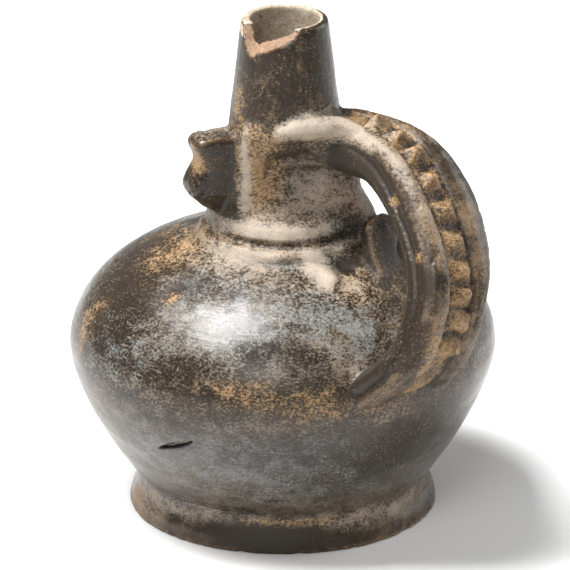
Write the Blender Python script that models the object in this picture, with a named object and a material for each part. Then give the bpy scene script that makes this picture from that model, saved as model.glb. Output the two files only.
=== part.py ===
"""Strap-handled bottle of burnished blackware: one hollow body of fired clay.

A rounded belly stands on a ring foot. A blocky neck with a plain lug carries one
upright conical spout, and a ribbed strap with a row of studs arches from the neck
down to the belly. Lengths are in millimetres, the axis of the belly is x = y = 0
until the whole is set down, and the strap springs towards +X.
"""
import math

import bmesh
import bpy
from mathutils import Vector

MM = 0.001

# Belly and foot
belly_radius = 77.5
belly_height = 62.5
waist_radius = 53.8
waist_height = 14.4
lower_fullness = 1.55
dome_height = 44.6
shoulder_radius = 31.0
wall = 4.2
foot_draw = 0.5
foot_flare = 2.4
foot_band = 11.2
foot_recess = 5.5
foot_edge_round = 0.8
recess_round = 1.6
floor_thickness = 5.0

# Collar between belly and neck
collar_radius = 26.2
collar_top_radius = 20.8
collar_height = 9.4
ledge_radius = 31.5
ledge_height = 3.1

# Neck block, whose flat front looks past the near side of the strap
neck_front_angle = math.radians(-38.0)
neck_squareness = 3.4
neck_hollow_depth = 6.2
neck_hollow_side = 9.0
neck_hollow_height = 137.0
neck_hollow_spread = 9.5

# Spout and its bore
spout_base_height = 149.0
spout_height = 186.0
spout_base_radius = 20.4
spout_lower_radius = 19.6
spout_rim_radius = 15.6
spout_wall = 2.9
rim_round = 0.8
neck_bore_radius = 9.5
spout_shift = 0.8
spout_shift_angle = math.radians(44.0)

# Broken place in the rim: bearing in degrees and the depth of the break there
break_outline = (
    (-119.0, -1.0),
    (-110.0, 3.0),
    (-100.0, 8.3),
    (-88.0, 10.5),
    (-79.0, 8.5),
    (-56.0, 6.2),
    (-39.0, 4.7),
    (-30.0, 3.0),
    (-20.0, -1.0),
)
break_slope = 3.6

# Lug on the neck
lug_angle = math.radians(-116.0)
lug_width = 13.0
lug_reach = 34.2
lug_low = 116.4
lug_high = 144.8
lug_knob = 1.2
lug_hollow = 1.3
lug_bulge = 3.4
lug_edge_round = 2.2

# Strap
strap_half_width = 18.0
strap_thickness = 12.0
channel_half_width = 6.3
rib_height = 3.6
far_rib_extra = 3.6
groove_depth = 1.4
loop_centre_reach = 0.542
loop_centre_rise = 0.549
strap_steps = 34

# Studs in the strap's channel
stud_count = 10
stud_height = 4.4
stud_first = 0.232
stud_last = 0.750
stud_sink = 1.2
stud_overlap = 0.8

# Slit in the belly wall
slit_angle = math.radians(-78.0)
slit_height = 45.0
slit_length = 17.5
slit_width = 1.5
slit_depth = 2.6
slit_lean = 0.42

# Brow of clay that carries the strap's near rib round the front of the spout
brow_height = 4.6
brow_depth = 4.2

# Fold of clay on the shoulder under the strap, and the pocket beside it
fold_rise = 3.4
fold_half_width = 3.0
pocket_angle = math.radians(-5.0)
pocket_rise = 5.6
pocket_radius = 5.0

# Number of sides
belly_sides = 50
cavity_sides = 28
spout_sides = 34
neck_sides = 28

CLAY = (0.062, 0.052, 0.044, 1.0)


def clear_scene():
    """Remove every object, so that the file holds the bottle alone."""
    for thing in list(bpy.data.objects):
        bpy.data.objects.remove(thing, do_unlink=True)


def clay_material():
    """Dark burnished clay."""
    material = bpy.data.materials.new("burnished_blackware")
    material.use_nodes = True
    shader = material.node_tree.nodes["Principled BSDF"]
    shader.inputs["Base Color"].default_value = CLAY
    shader.inputs["Roughness"].default_value = 0.38
    shader.inputs["Metallic"].default_value = 0.0
    return material


def polar(reach, angle, height):
    """Point at a reach from the axis, in a direction, at a height."""
    return Vector((reach * math.cos(angle), reach * math.sin(angle), height))


def fade(value, centre, spread):
    """Bell curve, 1 at the centre."""
    return math.exp(-(((value - centre) / spread) ** 2))


def loft(name, rings, parent, helper=True):
    """Closed solid through rings of equal count, with a flat cap at each end."""
    bm = bmesh.new()
    loops = [[bm.verts.new(point * MM) for point in ring] for ring in rings]
    count = len(loops[0])
    for lower, upper in zip(loops, loops[1:]):
        for i in range(count):
            j = (i + 1) % count
            bm.faces.new((lower[i], lower[j], upper[j], upper[i]))
    bm.faces.new(list(reversed(loops[0])))
    bm.faces.new(loops[-1])
    bmesh.ops.recalc_face_normals(bm, faces=bm.faces)
    bmesh.ops.triangulate(bm, faces=bm.faces)
    return finish_mesh(name, bm, parent, helper)


def finish_mesh(name, bm, parent, helper):
    """Turn the mesh into an object; a helper only shapes the vessel."""
    mesh = bpy.data.meshes.new(name)
    bm.to_mesh(mesh)
    bm.free()
    thing = bpy.data.objects.new(name, mesh)
    bpy.context.scene.collection.objects.link(thing)
    thing.parent = parent
    if helper:
        thing.hide_render = True
        thing.display_type = "WIRE"
    return thing


def axis_shift(height):
    """Sideways shift of the axis, which sets the spout a little off the belly's centre."""
    low = shoulder_top()
    share = min(max((height - low) / (spout_base_height - low), 0.0), 1.0)
    return polar(spout_shift * share, spout_shift_angle, 0.0)


def turned(name, outline, sides, parent, helper=True):
    """Solid of revolution from an outline of radius and height, bottom to top."""
    turn = 2.0 * math.pi / sides
    rings = []
    for radius, height in outline:
        shift = axis_shift(height)
        rings.append([shift + polar(radius, turn * i, height) for i in range(sides)])
    return loft(name, rings, parent, helper)


def lower_belly_radius(height):
    """Outer radius of the belly from its waist up to its widest height."""
    share = (height - waist_height) / (belly_height - waist_height)
    rise = 1.0 - (1.0 - share) ** lower_fullness
    return waist_radius + (belly_radius - waist_radius) * rise


def belly_outline(inset):
    """Radius and height from the waist to the shoulder, drawn in by an inset."""
    radius = belly_radius - inset
    points = []
    lower_steps = 8
    for i in range(lower_steps):
        height = waist_height + (belly_height - waist_height) * i / lower_steps
        points.append((lower_belly_radius(height) - inset, height))
    top = dome_height - inset
    edge = math.acos((shoulder_radius - inset) / radius)
    dome_steps = 11
    for i in range(dome_steps + 1):
        angle = edge * i / dome_steps
        points.append((radius * math.cos(angle), belly_height + top * math.sin(angle)))
    return points


def shoulder_top():
    """Height where the dome of the belly reaches the shoulder radius."""
    return belly_outline(0.0)[-1][1]


def make_belly(parent):
    """Belly and ring foot, solid until the hollow is cut."""
    edge = foot_edge_round
    lip = waist_radius + foot_flare
    groove = waist_radius - foot_draw
    foot = [
        (lip - edge, 0.0),
        (lip - 0.3 * edge, 0.3 * edge),
        (lip, edge),
        (lip - 0.3 * foot_flare, 0.33 * waist_height),
        (groove + foot_draw, 0.6 * waist_height),
        (groove, 0.85 * waist_height),
    ]
    return turned("vessel", foot + belly_outline(0.0), belly_sides, parent, helper=False)


def make_recess(parent):
    """Shallow hollow under the base, inside the ring foot."""
    inner = waist_radius + foot_flare - foot_band
    outline = [
        (inner + recess_round, -recess_round),
        (inner, 0.35 * recess_round),
        (inner - recess_round, foot_recess),
    ]
    return turned("recess_cut", outline, cavity_sides, parent)


def make_hollow(parent):
    """Inside of the belly, the neck bore and the spout bore, as one cutter."""
    floor = foot_recess + floor_thickness
    corner = 5.0
    inside = belly_outline(wall)[1:]
    inside_radius = inside[0][0]
    outline = [
        (inside_radius - 2.2 * corner, floor),
        (inside_radius - 0.8 * corner, floor + 0.4 * corner),
    ]
    outline += inside
    outline += [
        (neck_bore_radius + 3.0, inside[-1][1] + 2.0),
        (neck_bore_radius, inside[-1][1] + 7.0),
        (neck_bore_radius, spout_base_height - 8.0),
        (spout_lower_radius - 2.0 * spout_wall, spout_base_height + 8.0),
        (spout_rim_radius - spout_wall, spout_height),
        (spout_rim_radius - spout_wall, spout_height + 4.0),
    ]
    return turned("hollow_cut", outline, cavity_sides, parent)


def make_collar(parent):
    """Rounded band of clay that seats the neck on the shoulder."""
    base = shoulder_top()
    crease = base + ledge_height
    outline = [
        (0.5 * collar_radius, base - 6.0),
        (ledge_radius + 1.5, base - 3.5),
        (ledge_radius, base + 0.3 * ledge_height),
        (ledge_radius - 2.2, crease),
        (collar_radius + 0.7, crease - 0.2),
        (collar_radius - 0.3, crease + 0.7),
        (collar_radius, crease + 0.35 * collar_height),
        (collar_radius - 1.8, crease + 0.7 * collar_height),
        (collar_top_radius, crease + 0.94 * collar_height),
        (0.5 * collar_radius, crease + collar_height),
    ]
    return turned("collar", outline, belly_sides, parent)


def neck_ring(height, left, right, front, back):
    """One level of the neck: a rounded rectangle with a hollowed front."""
    side_angle = neck_front_angle + 0.5 * math.pi
    side_way = polar(1.0, side_angle, 0.0)
    front_way = polar(1.0, neck_front_angle, 0.0)
    power = 2.0 / neck_squareness
    ring = []
    for i in range(neck_sides):
        angle = 2.0 * math.pi * i / neck_sides
        cosine = math.cos(angle)
        sine = math.sin(angle)
        side = math.copysign(abs(cosine) ** power, cosine) * (right if cosine > 0.0 else left)
        depth = -math.copysign(abs(sine) ** power, sine) * (back if sine > 0.0 else front)
        if sine < 0.0:
            hollow = fade(side, neck_hollow_side, neck_hollow_spread)
            depth -= neck_hollow_depth * hollow * fade(height, neck_hollow_height, neck_hollow_spread)
        ring.append(side_way * side + front_way * depth + Vector((0.0, 0.0, height)))
    return ring


def make_neck(parent):
    """Blocky neck, flared at its foot and brought out again under the spout."""
    base = shoulder_top()
    top = spout_base_height
    levels = (
        (base - 5.0, 28.0, 36.0, 24.0, 21.0),
        (base + 3.0, 28.0, 35.5, 19.0, 19.0),
        (base + 9.0, 27.0, 33.0, 16.0, 18.0),
        (base + 17.0, 25.0, 28.5, 14.5, 17.0),
        (base + 27.0, 22.5, 27.0, 14.5, 17.0),
        (top - 8.0, 20.0, 26.0, 16.5, 17.5),
        (top - 3.0, 18.5, 24.0, 18.0, 18.0),
        (top + 0.5, 17.0, 21.0, 18.0, 17.0),
        (top + 2.5, 15.0, 18.0, 15.5, 14.0),
    )
    return loft("neck", [neck_ring(*level) for level in levels], parent)


def make_spout(parent):
    """Tapered spout with a small flare where it stands on the neck."""
    base = spout_base_height
    outline = [
        (spout_base_radius - 4.0, base - 12.0),
        (spout_base_radius, base - 3.0),
        (spout_base_radius - 0.5, base),
        (spout_lower_radius + 0.2, base + 3.5),
        (spout_lower_radius - 0.4, base + 8.0),
        (spout_rim_radius + 0.3, spout_height - 3.0 * rim_round),
        (spout_rim_radius, spout_height - rim_round),
        (spout_rim_radius - rim_round, spout_height),
    ]
    return turned("spout", outline, spout_sides, parent)


def make_break(parent):
    """Cutter for the broken place in the rim, sloping down and outwards."""
    inner = 4.0
    outer = spout_rim_radius + 8.0
    middle = spout_rim_radius
    top = spout_height + 6.0
    rings = []
    for bearing, depth in break_outline:
        angle = math.radians(bearing)
        low = spout_height - depth
        rise = break_slope / spout_wall
        inner_low = min(low + rise * (middle - inner), top - 0.5)
        rings.append(
            [
                polar(inner, angle, inner_low),
                polar(middle, angle, low),
                polar(outer, angle, low - 1.0),
                polar(outer, angle, top),
                polar(inner, angle, top),
            ]
        )
    return loft("rim_break_cut", rings, parent)


def lug_front(height):
    """Reach of the lug's front: a knob above, a hollow, then a fuller bulge."""
    reach = lug_reach
    reach += lug_knob * fade(height, lug_high - 3.0, 3.0)
    reach -= lug_hollow * fade(height, lug_high - 9.5, 3.5)
    reach += lug_bulge * fade(height, lug_low + 9.5, 6.0)
    return reach


def make_lug(parent):
    """Plain slab-like lug with a waved front."""
    along = polar(1.0, lug_angle, 0.0)
    across = polar(1.0, lug_angle + 0.5 * math.pi, 0.0)
    root = 8.0
    edge = lug_edge_round
    steps = 11
    levels = [(lug_low, 2.6 * edge)]
    for i in range(steps + 1):
        height = lug_low + edge + (lug_high - lug_low - 2.0 * edge) * i / steps
        levels.append((height, 1.4 * edge * fade(height, lug_low + edge, 3.0)))
    levels.append((lug_high - 0.3 * edge, 0.45 * edge))
    levels.append((lug_high, 1.1 * edge))
    rings = []
    for height, draw in levels:
        front = lug_front(height) - draw
        half = 0.5 * lug_width - 0.35 * draw
        corner = edge
        outline = (
            (root, -half),
            (front - 1.6 * corner, -half),
            (front - 0.5 * corner, -half + 0.35 * corner),
            (front, -half + 1.5 * corner),
            (front, half - 1.5 * corner),
            (front - 0.5 * corner, half - 0.35 * corner),
            (front - 1.6 * corner, half),
            (root, half),
        )
        rings.append([along * u + across * v + Vector((0.0, 0.0, height)) for u, v in outline])
    return loft("lug", rings, parent)


# Strap path from inside the neck to inside the belly wall: reach as a share of the
# belly's radius, bearing in degrees, rise as a share of the way from the belly's widest
# height to the spout's foot, then shares of full width, rib height, far rib's extra
# width and thickness
strap_stations = (
    (0.078, 24.0, 0.974, 0.72, 0.20, -0.6, 1.30),
    (0.258, 22.5, 1.018, 0.72, 0.25, -0.6, 1.40),
    (0.465, 19.5, 1.006, 0.75, 0.45, -0.4, 1.45),
    (0.677, 13.5, 0.937, 0.82, 0.90, 0.8, 1.20),
    (0.884, 7.5, 0.775, 0.90, 1.00, 1.5, 1.00),
    (1.052, 3.0, 0.578, 0.98, 1.00, 0.8, 1.00),
    (1.112, -0.5, 0.399, 1.00, 1.00, -0.1, 1.00),
    (1.097, -4.5, 0.202, 1.05, 0.90, -0.2, 1.00),
    (1.013, -9.0, 0.052, 1.18, 0.35, 0.0, 1.00),
    (0.865, -12.0, -0.058, 1.32, 0.00, 0.0, 1.00),
)


def smooth_value(values, share):
    """Catmull-Rom value through evenly shared stations."""
    last = len(values) - 1
    place = min(max(share, 0.0), 1.0) * last
    i = min(int(place), last - 1)
    t = place - i
    a = values[max(i - 1, 0)]
    b = values[i]
    c = values[i + 1]
    d = values[min(i + 2, last)]
    bend = 2.0 * b + (c - a) * t + (2.0 * a - 5.0 * b + 4.0 * c - d) * t**2
    return 0.5 * (bend + (3.0 * b - a - 3.0 * c + d) * t**3)


def strap_value(column, share):
    """Value of one column of the strap's stations at a share of its length."""
    return smooth_value([station[column] for station in strap_stations], share)


def strap_height(rise):
    """Height for a share of the way from the belly's widest height to the spout's foot."""
    return belly_height + rise * (spout_base_height - belly_height)


def strap_point(share):
    """Middle of the channel floor at a share of the strap's length."""
    reach = belly_radius * strap_value(0, share)
    bearing = math.radians(strap_value(1, share))
    return polar(reach, bearing, strap_height(strap_value(2, share)))


def strap_frame(share):
    """Point, outward way and sideways way of the strap at a share of its length."""
    step = 0.004
    point = strap_point(share)
    ahead = (strap_point(share + step) - strap_point(share - step)).normalized()
    bearing = math.atan2(point.y, point.x)
    centre = polar(belly_radius * loop_centre_reach, bearing, strap_height(loop_centre_rise))
    outward = point - centre
    outward = (outward - ahead * outward.dot(ahead)).normalized()
    return point, outward, outward.cross(ahead)


def strap_section(share, extra):
    """Half section of the strap from the channel to the middle of its underside."""
    width_share = strap_value(3, share)
    half = strap_half_width * width_share + extra
    floor = channel_half_width * width_share
    rib = rib_height * strap_value(4, share)
    low = -strap_thickness * strap_value(6, share)
    crest = floor + 0.5 * (half - floor)
    return (
        (floor, 0.0),
        (floor + 0.13 * (half - floor), 0.68 * rib),
        (floor + 0.31 * (half - floor), rib),
        (crest + 0.05 * half, rib),
        (half - 2.4, 0.62 * rib - 0.4),
        (half - 0.9, -1.4),
        (half - 0.7, -3.6),
        (half - 0.7 - groove_depth, -4.8),
        (half - 0.2, -6.0),
        (half, 0.7 * low),
        (half - 1.6, 0.88 * low),
        (0.62 * half, low),
        (0.25 * half, low),
    )


def make_strap(parent):
    """Ribbed strap swept along its path."""
    rings = []
    for i in range(strap_steps + 1):
        share = i / strap_steps
        point, outward, sideways = strap_frame(share)
        far = strap_section(share, far_rib_extra * strap_value(5, share))
        near = strap_section(share, 0.0)
        outline = list(far) + [(-side, out) for side, out in reversed(near)]
        rings.append([point + sideways * side + outward * out for side, out in outline])
    return loft("strap", rings, parent)


def strap_reach():
    """Furthest that the strap's ribs stand out from the belly's axis."""
    reach = 0.0
    for i in range(strap_steps + 1):
        point, outward, _ = strap_frame(i / strap_steps)
        reach = max(reach, (point + outward * rib_height).x)
    return reach


def make_studs(parent):
    """Row of four-sided studs in the channel, all in one mesh."""
    bm = bmesh.new()
    pitch = (stud_last - stud_first) / (stud_count - 1)
    for i in range(stud_count):
        share = stud_first + pitch * i
        half = channel_half_width * strap_value(3, share) + stud_overlap
        top, top_out, top_side = strap_frame(share - 0.47 * pitch)
        end, end_out, end_side = strap_frame(share + 0.47 * pitch)
        middle, out, side = strap_frame(share)
        low = [
            top - top_side * half - top_out * stud_sink,
            top + top_side * half - top_out * stud_sink,
            end + end_side * half - end_out * stud_sink,
            end - end_side * half - end_out * stud_sink,
        ]
        high = [
            point + out * (stud_sink + 0.5) + (middle - point) * 0.03 for point in low
        ]
        tip = bm.verts.new((middle + out * stud_height) * MM)
        base = [bm.verts.new(point * MM) for point in low]
        edge = [bm.verts.new(point * MM) for point in high]
        bm.faces.new(list(reversed(base)))
        for j in range(4):
            k = (j + 1) % 4
            bm.faces.new((base[j], base[k], edge[k], edge[j]))
            bm.faces.new((edge[j], edge[k], tip))
    bmesh.ops.recalc_face_normals(bm, faces=bm.faces)
    bmesh.ops.triangulate(bm, faces=bm.faces)
    return finish_mesh("studs", bm, parent, True)


def sweep(name, points, section, parent):
    """Closed solid swept through stations of point, size and up way."""
    rings = []
    steps = 4 * (len(points) - 1)
    columns = list(zip(*points))
    for i in range(steps + 1):
        share = i / steps
        values = [smooth_value(column, share) for column in columns]
        near = [smooth_value(column, share + 0.02) for column in columns]
        last = [smooth_value(column, share - 0.02) for column in columns]
        middle = polar(values[0], math.radians(values[1]), values[2])
        ahead = polar(near[0], math.radians(near[1]), near[2])
        ahead = (ahead - polar(last[0], math.radians(last[1]), last[2])).normalized()
        aside = ahead.cross(Vector((0.0, 0.0, 1.0))).normalized()
        up = aside.cross(ahead)
        size = values[3]
        rings.append([middle + aside * (side * size) + up * (rise * size) for side, rise in section])
    return loft(name, rings, parent)


# Paths of the brow and the fold: reach as a share of the spout's or the ledge's radius,
# bearing in degrees, height as a share of the spout's foot or the shoulder, share of full size
brow_path = (
    (0.858, -68.0, 0.966, 0.25),
    (0.907, -49.0, 0.991, 0.75),
    (1.029, -22.0, 1.007, 1.0),
    (1.348, 1.0, 1.008, 1.0),
    (1.863, 8.0, 0.987, 0.75),
)
fold_path = (
    (1.152, 40.5, 1.056, 0.8),
    (1.089, 27.0, 1.062, 0.9),
    (1.124, 15.5, 1.054, 1.0),
    (1.302, 6.0, 0.988, 0.9),
    (1.521, 2.0, 0.935, 0.5),
)


def path_points(path, radius, height):
    """Reach, bearing, height and size of a path that is given in shares."""
    return [(reach * radius, bearing, level * height, size) for reach, bearing, level, size in path]


def make_brow(parent):
    """Rounded brow along the neck's front edge, running into the strap's near rib."""
    section = []
    for i in range(10):
        angle = 2.0 * math.pi * i / 10
        section.append((brow_depth * math.cos(angle), brow_height * math.sin(angle)))
    return sweep("brow", path_points(brow_path, spout_base_radius, spout_base_height), section, parent)


def make_fold(parent):
    """Sharp fold that leaves the neck's flare and runs out over the shoulder."""
    section = (
        (-3.6 * fold_half_width, -2.0 * fold_rise),
        (fold_half_width, -fold_rise),
        (0.8 * fold_half_width, 0.0),
        (0.2 * fold_half_width, 0.95 * fold_rise),
        (-0.4 * fold_half_width, fold_rise),
        (-3.6 * fold_half_width, -0.6 * fold_rise),
    )
    return sweep("fold", path_points(fold_path, ledge_radius, shoulder_top()), section, parent)


def make_pocket(parent):
    """Cutter for the hollow between the collar and the fold."""
    outline = []
    steps = 8
    for i in range(1, steps):
        angle = math.pi * i / steps
        outline.append((pocket_radius * math.sin(angle), -0.8 * pocket_radius * math.cos(angle)))
    middle = polar(ledge_radius, pocket_angle, shoulder_top() + pocket_rise)
    turn = 2.0 * math.pi / 12
    rings = [[middle + polar(radius, turn * i, rise) for i in range(12)] for radius, rise in outline]
    return loft("pocket_cut", rings, parent)


def make_slit(parent):
    """Cutter for the narrow slit in the belly wall."""
    out = polar(1.0, slit_angle, 0.0)
    along = polar(1.0, slit_angle + 0.5 * math.pi, 0.0)
    clearance = 4.0
    half = 0.5 * slit_length
    outline = (
        (-half, 0.0),
        (-0.3 * half, -0.5 * slit_width),
        (0.5 * half, -0.35 * slit_width),
        (half, 0.1 * slit_width),
        (0.4 * half, 0.45 * slit_width),
        (-0.4 * half, 0.5 * slit_width),
    )
    rings = []
    for outward, share_left in ((-slit_depth, 0.8), (clearance, 1.0)):
        ring = []
        for side, rise in outline:
            side *= share_left
            height = slit_height + rise * share_left + slit_lean * side
            reach = lower_belly_radius(height) + outward
            ring.append(out * reach + along * side + Vector((0.0, 0.0, height)))
        rings.append(ring)
    return loft("slit_cut", rings, parent)


def combine(vessel, helper, operation):
    """Add one Boolean step to the vessel."""
    step = vessel.modifiers.new(helper.name, "BOOLEAN")
    step.operation = operation
    step.solver = "EXACT"
    step.object = helper


def build():
    """Make the bottle and set it down with its footprint centred."""
    clear_scene()
    stand = bpy.data.objects.new("belly_axis", None)
    bpy.context.scene.collection.objects.link(stand)
    stand.location.x = -0.5 * (strap_reach() - belly_radius) * MM
    vessel = make_belly(stand)
    vessel.data.materials.append(clay_material())
    for maker in (make_collar, make_neck, make_spout, make_lug, make_fold, make_brow, make_strap, make_studs):
        combine(vessel, maker(stand), "UNION")
    for maker in (make_pocket, make_hollow, make_recess, make_break, make_slit):
        combine(vessel, maker(stand), "DIFFERENCE")


build()
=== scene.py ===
"""Looks of a strap-handled bottle of burnished blackware, built around its solid model.

The solid gives the form. A copy of it is meshed finely, its facets are taken out, its clay
joins are softened, and the swell, tool marks, chips and gouges of worn hand-made ware are
added as real relief. One shader lays burnish, mottling, soil and scratches over it, and also
painted shade in hollows and under the strap and painted highlight on tops facing the light.
Heights, reaches and bearings in the tables are in millimetres and degrees, measured from
the axis of the belly; everything else is in metres.
"""
import math

import bmesh
import bpy
import numpy as np
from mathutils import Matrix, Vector


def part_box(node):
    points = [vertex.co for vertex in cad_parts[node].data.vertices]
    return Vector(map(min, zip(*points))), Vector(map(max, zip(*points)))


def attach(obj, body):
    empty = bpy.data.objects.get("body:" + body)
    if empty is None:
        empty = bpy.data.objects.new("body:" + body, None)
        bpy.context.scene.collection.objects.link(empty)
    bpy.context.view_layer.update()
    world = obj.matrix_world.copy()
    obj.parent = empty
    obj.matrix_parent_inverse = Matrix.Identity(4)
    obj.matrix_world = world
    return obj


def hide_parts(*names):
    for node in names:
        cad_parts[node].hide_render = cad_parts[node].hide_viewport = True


bl_info = {
    "name": "Strap-handled bottle",
    "version": (1, 0, 0),
    "blender": (4, 5, 0),
    "location": "View3D > Sidebar > Bottle",
    "description": "Worn, burnished surface for a hand-made clay bottle",
    "category": "Object",
}

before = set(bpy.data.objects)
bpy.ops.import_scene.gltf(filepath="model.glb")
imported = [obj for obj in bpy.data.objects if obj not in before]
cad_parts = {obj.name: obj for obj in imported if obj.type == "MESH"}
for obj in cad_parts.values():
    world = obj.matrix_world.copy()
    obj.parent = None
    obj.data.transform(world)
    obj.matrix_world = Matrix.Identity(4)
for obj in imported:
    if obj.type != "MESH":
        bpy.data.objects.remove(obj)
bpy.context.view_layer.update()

MM = 0.001
floor_gap = 0.0001

# Belly, in millimetres
belly_radius = 77.5
belly_height = 62.5
waist_radius = 53.8
waist_height = 14.4
lower_fullness = 1.55
dome_height = 44.6
shoulder_height = 103.4
axis_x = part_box("vessel")[0].x + belly_radius * MM

# Strap path: reach, bearing, height and share of full width at even steps
strap_stations = (
    (6.0, 24.0, 146.8, 0.72),
    (20.0, 22.5, 150.6, 0.72),
    (36.0, 19.5, 149.5, 0.75),
    (52.5, 13.5, 143.6, 0.82),
    (68.5, 7.5, 129.5, 0.90),
    (81.5, 3.0, 112.5, 0.98),
    (86.2, -0.5, 97.0, 1.0),
    (85.0, -4.5, 80.0, 1.05),
    (78.5, -9.0, 67.0, 1.18),
    (67.0, -12.0, 57.5, 1.32),
)
strap_length = 200.0
# Reach and height that the strap's outer side faces away from
loop_centre = (42.0, 110.0)
# Furthest aside and below the path, and the share of the path where the strap leaves the neck
strap_side = 27.0
strap_sink = 18.0
strap_start = 0.14
# Reach and height past which the neck ends and the strap begins
strap_root = (24.0, 146.0)
channel_half_width = 6.3

# Studs: first and last share along the strap, corners, size of the worn tip as a share of the
# half width, and the most that a stud is turned out of line, in radians
stud_span = (0.232, 0.750)
stud_sides = 4
stud_blunt = 0.24
stud_tilt = (0.16, 0.16, 0.2)

# Slit in the lower belly
slit_bearing = -78.0
slit_level = 45.0
slit_half_length = 8.7
slit_half_width = 0.9
slit_depth = 2.7
slit_lean = 0.42
slit_wall = 3.4
# Painted shade: near black for the slit's floor
slit_black = (0.002, 0.002, 0.002, 1.0)

# Spout: outer radius and height just above its flare, and how much it narrows in a millimetre
spout_lower_radius = 19.2
spout_lower_height = 157.0
spout_taper = 3.3 / 26.6

# Where the named parts lie: spans of height, reach or bearing
neck_heights = (shoulder_height + 8.0, 152.0)
neck_reach = 42.0
lug_heights = (114.0, 147.0)
lug_bearings = (-140.0, -92.0)
lug_foot_reach = 22.5
spout_foot = 149.0
spout_reach = 22.5
collar_heights = (105.2, 115.5)
collar_reach = 31.5
ledge_heights = (98.5, 107.0)
ledge_reaches = (28.5, 47.0)
fold_heights = (93.0, 122.0)
fold_reaches = (36.0, 66.0)
fold_bearings = (-6.0, 50.0)
brow_heights = (144.5, 157.0)
brow_bearings = (-72.0, 16.0)
brow_reach = 46.0
break_heights = (173.0, 185.0)
break_bearings = (-128.0, -10.0)

# Rim: height above which its clay shows bare, and width of the burnished edge that is left
rim_foot = 180.0
rim_edge = 0.6

# Hollow: top of the belly's, then heights in the neck and spout and the reach of the wall there
inner_dome_top = 99.0
bore_limits = ((99.0, 103.5, 107.0, 141.0, 157.0, 186.0), (29.0, 20.0, 11.6, 11.6, 15.4, 13.9))


def smooth_step(values, low, high):
    """0 below low, 1 above high, eased between them; high may be the lower one."""
    share = np.clip((np.asarray(values, float) - low) / (high - low), 0.0, 1.0)
    return share * share * (3.0 - 2.0 * share)


def fade(values, centre, spread):
    """Bell curve, 1 at the centre."""
    return np.exp(-(((np.asarray(values, float) - centre) / spread) ** 2))


def between(values, limits):
    """Whether values lie between two limits."""
    return (values > limits[0]) & (values < limits[1])


def polar(reach, bearing, height):
    """Points in millimetres from reach, bearing in degrees and height."""
    turn = np.radians(bearing)
    return np.stack([reach * np.cos(turn), reach * np.sin(turn), height + 0.0 * turn], axis=-1)


def unit(vectors):
    """Vectors at length one."""
    return vectors / np.maximum(np.linalg.norm(vectors, axis=-1, keepdims=True), 1e-9)


def strap_values(shares):
    """Catmull-Rom reach, bearing, height and width along the strap."""
    table = np.array(strap_stations)
    last = len(table) - 1
    place = np.clip(shares, 0.0, 1.0) * last
    i = np.minimum(place.astype(int), last - 1)
    t = (place - i)[:, None]
    a = table[np.maximum(i - 1, 0)]
    b = table[i]
    c = table[i + 1]
    d = table[np.minimum(i + 2, last)]
    bend = 2.0 * b + (c - a) * t + (2.0 * a - 5.0 * b + 4.0 * c - d) * t**2
    return 0.5 * (bend + (3.0 * b - a - 3.0 * c + d) * t**3)


def strap_frames(shares):
    """Points, ways along, ways out, ways aside and width shares of the strap."""
    step = 0.004
    values = strap_values(shares)
    points = polar(values[:, 0], values[:, 1], values[:, 2])
    after = strap_values(shares + step)
    before = strap_values(shares - step)
    along = polar(after[:, 0], after[:, 1], after[:, 2])
    along = unit(along - polar(before[:, 0], before[:, 1], before[:, 2]))
    centre = polar(0.0 * shares + loop_centre[0], values[:, 1], 0.0 * shares + loop_centre[1])
    out = points - centre
    out = unit(out - along * np.sum(out * along, axis=1, keepdims=True))
    return points, along, out, np.cross(out, along), values[:, 3]


def belly_reach(height):
    """Radius of the bare belly at a height, in millimetres."""
    share = np.clip((height - waist_height) / (belly_height - waist_height), 0.0, 1.0)
    lower = waist_radius + (belly_radius - waist_radius) * (1.0 - (1.0 - share) ** lower_fullness)
    rise = np.clip((height - belly_height) / dome_height, 0.0, 0.999)
    upper = belly_radius * np.sqrt(1.0 - rise * rise)
    return np.where(height < belly_height, lower, upper)


def spout_outer_radius(height):
    """Outer radius of the spout at a height above its foot."""
    return spout_lower_radius - (height - spout_lower_height) * spout_taper


def spout_foot_radius(height):
    """Radius just outside the spout at a height near its foot."""
    return 20.0 - 0.08 * (height - 149.0)


def is_inside(reach, height):
    """Whether points lie in the hollow of the belly or in the bores."""
    belly = (reach < belly_reach(height) - 2.6) & (height > 8.5) & (height < inner_dome_top)
    bore = (reach < np.interp(height, *bore_limits)) & (height > inner_dome_top - 1.0) & (height < 185.2)
    return belly | bore


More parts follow.
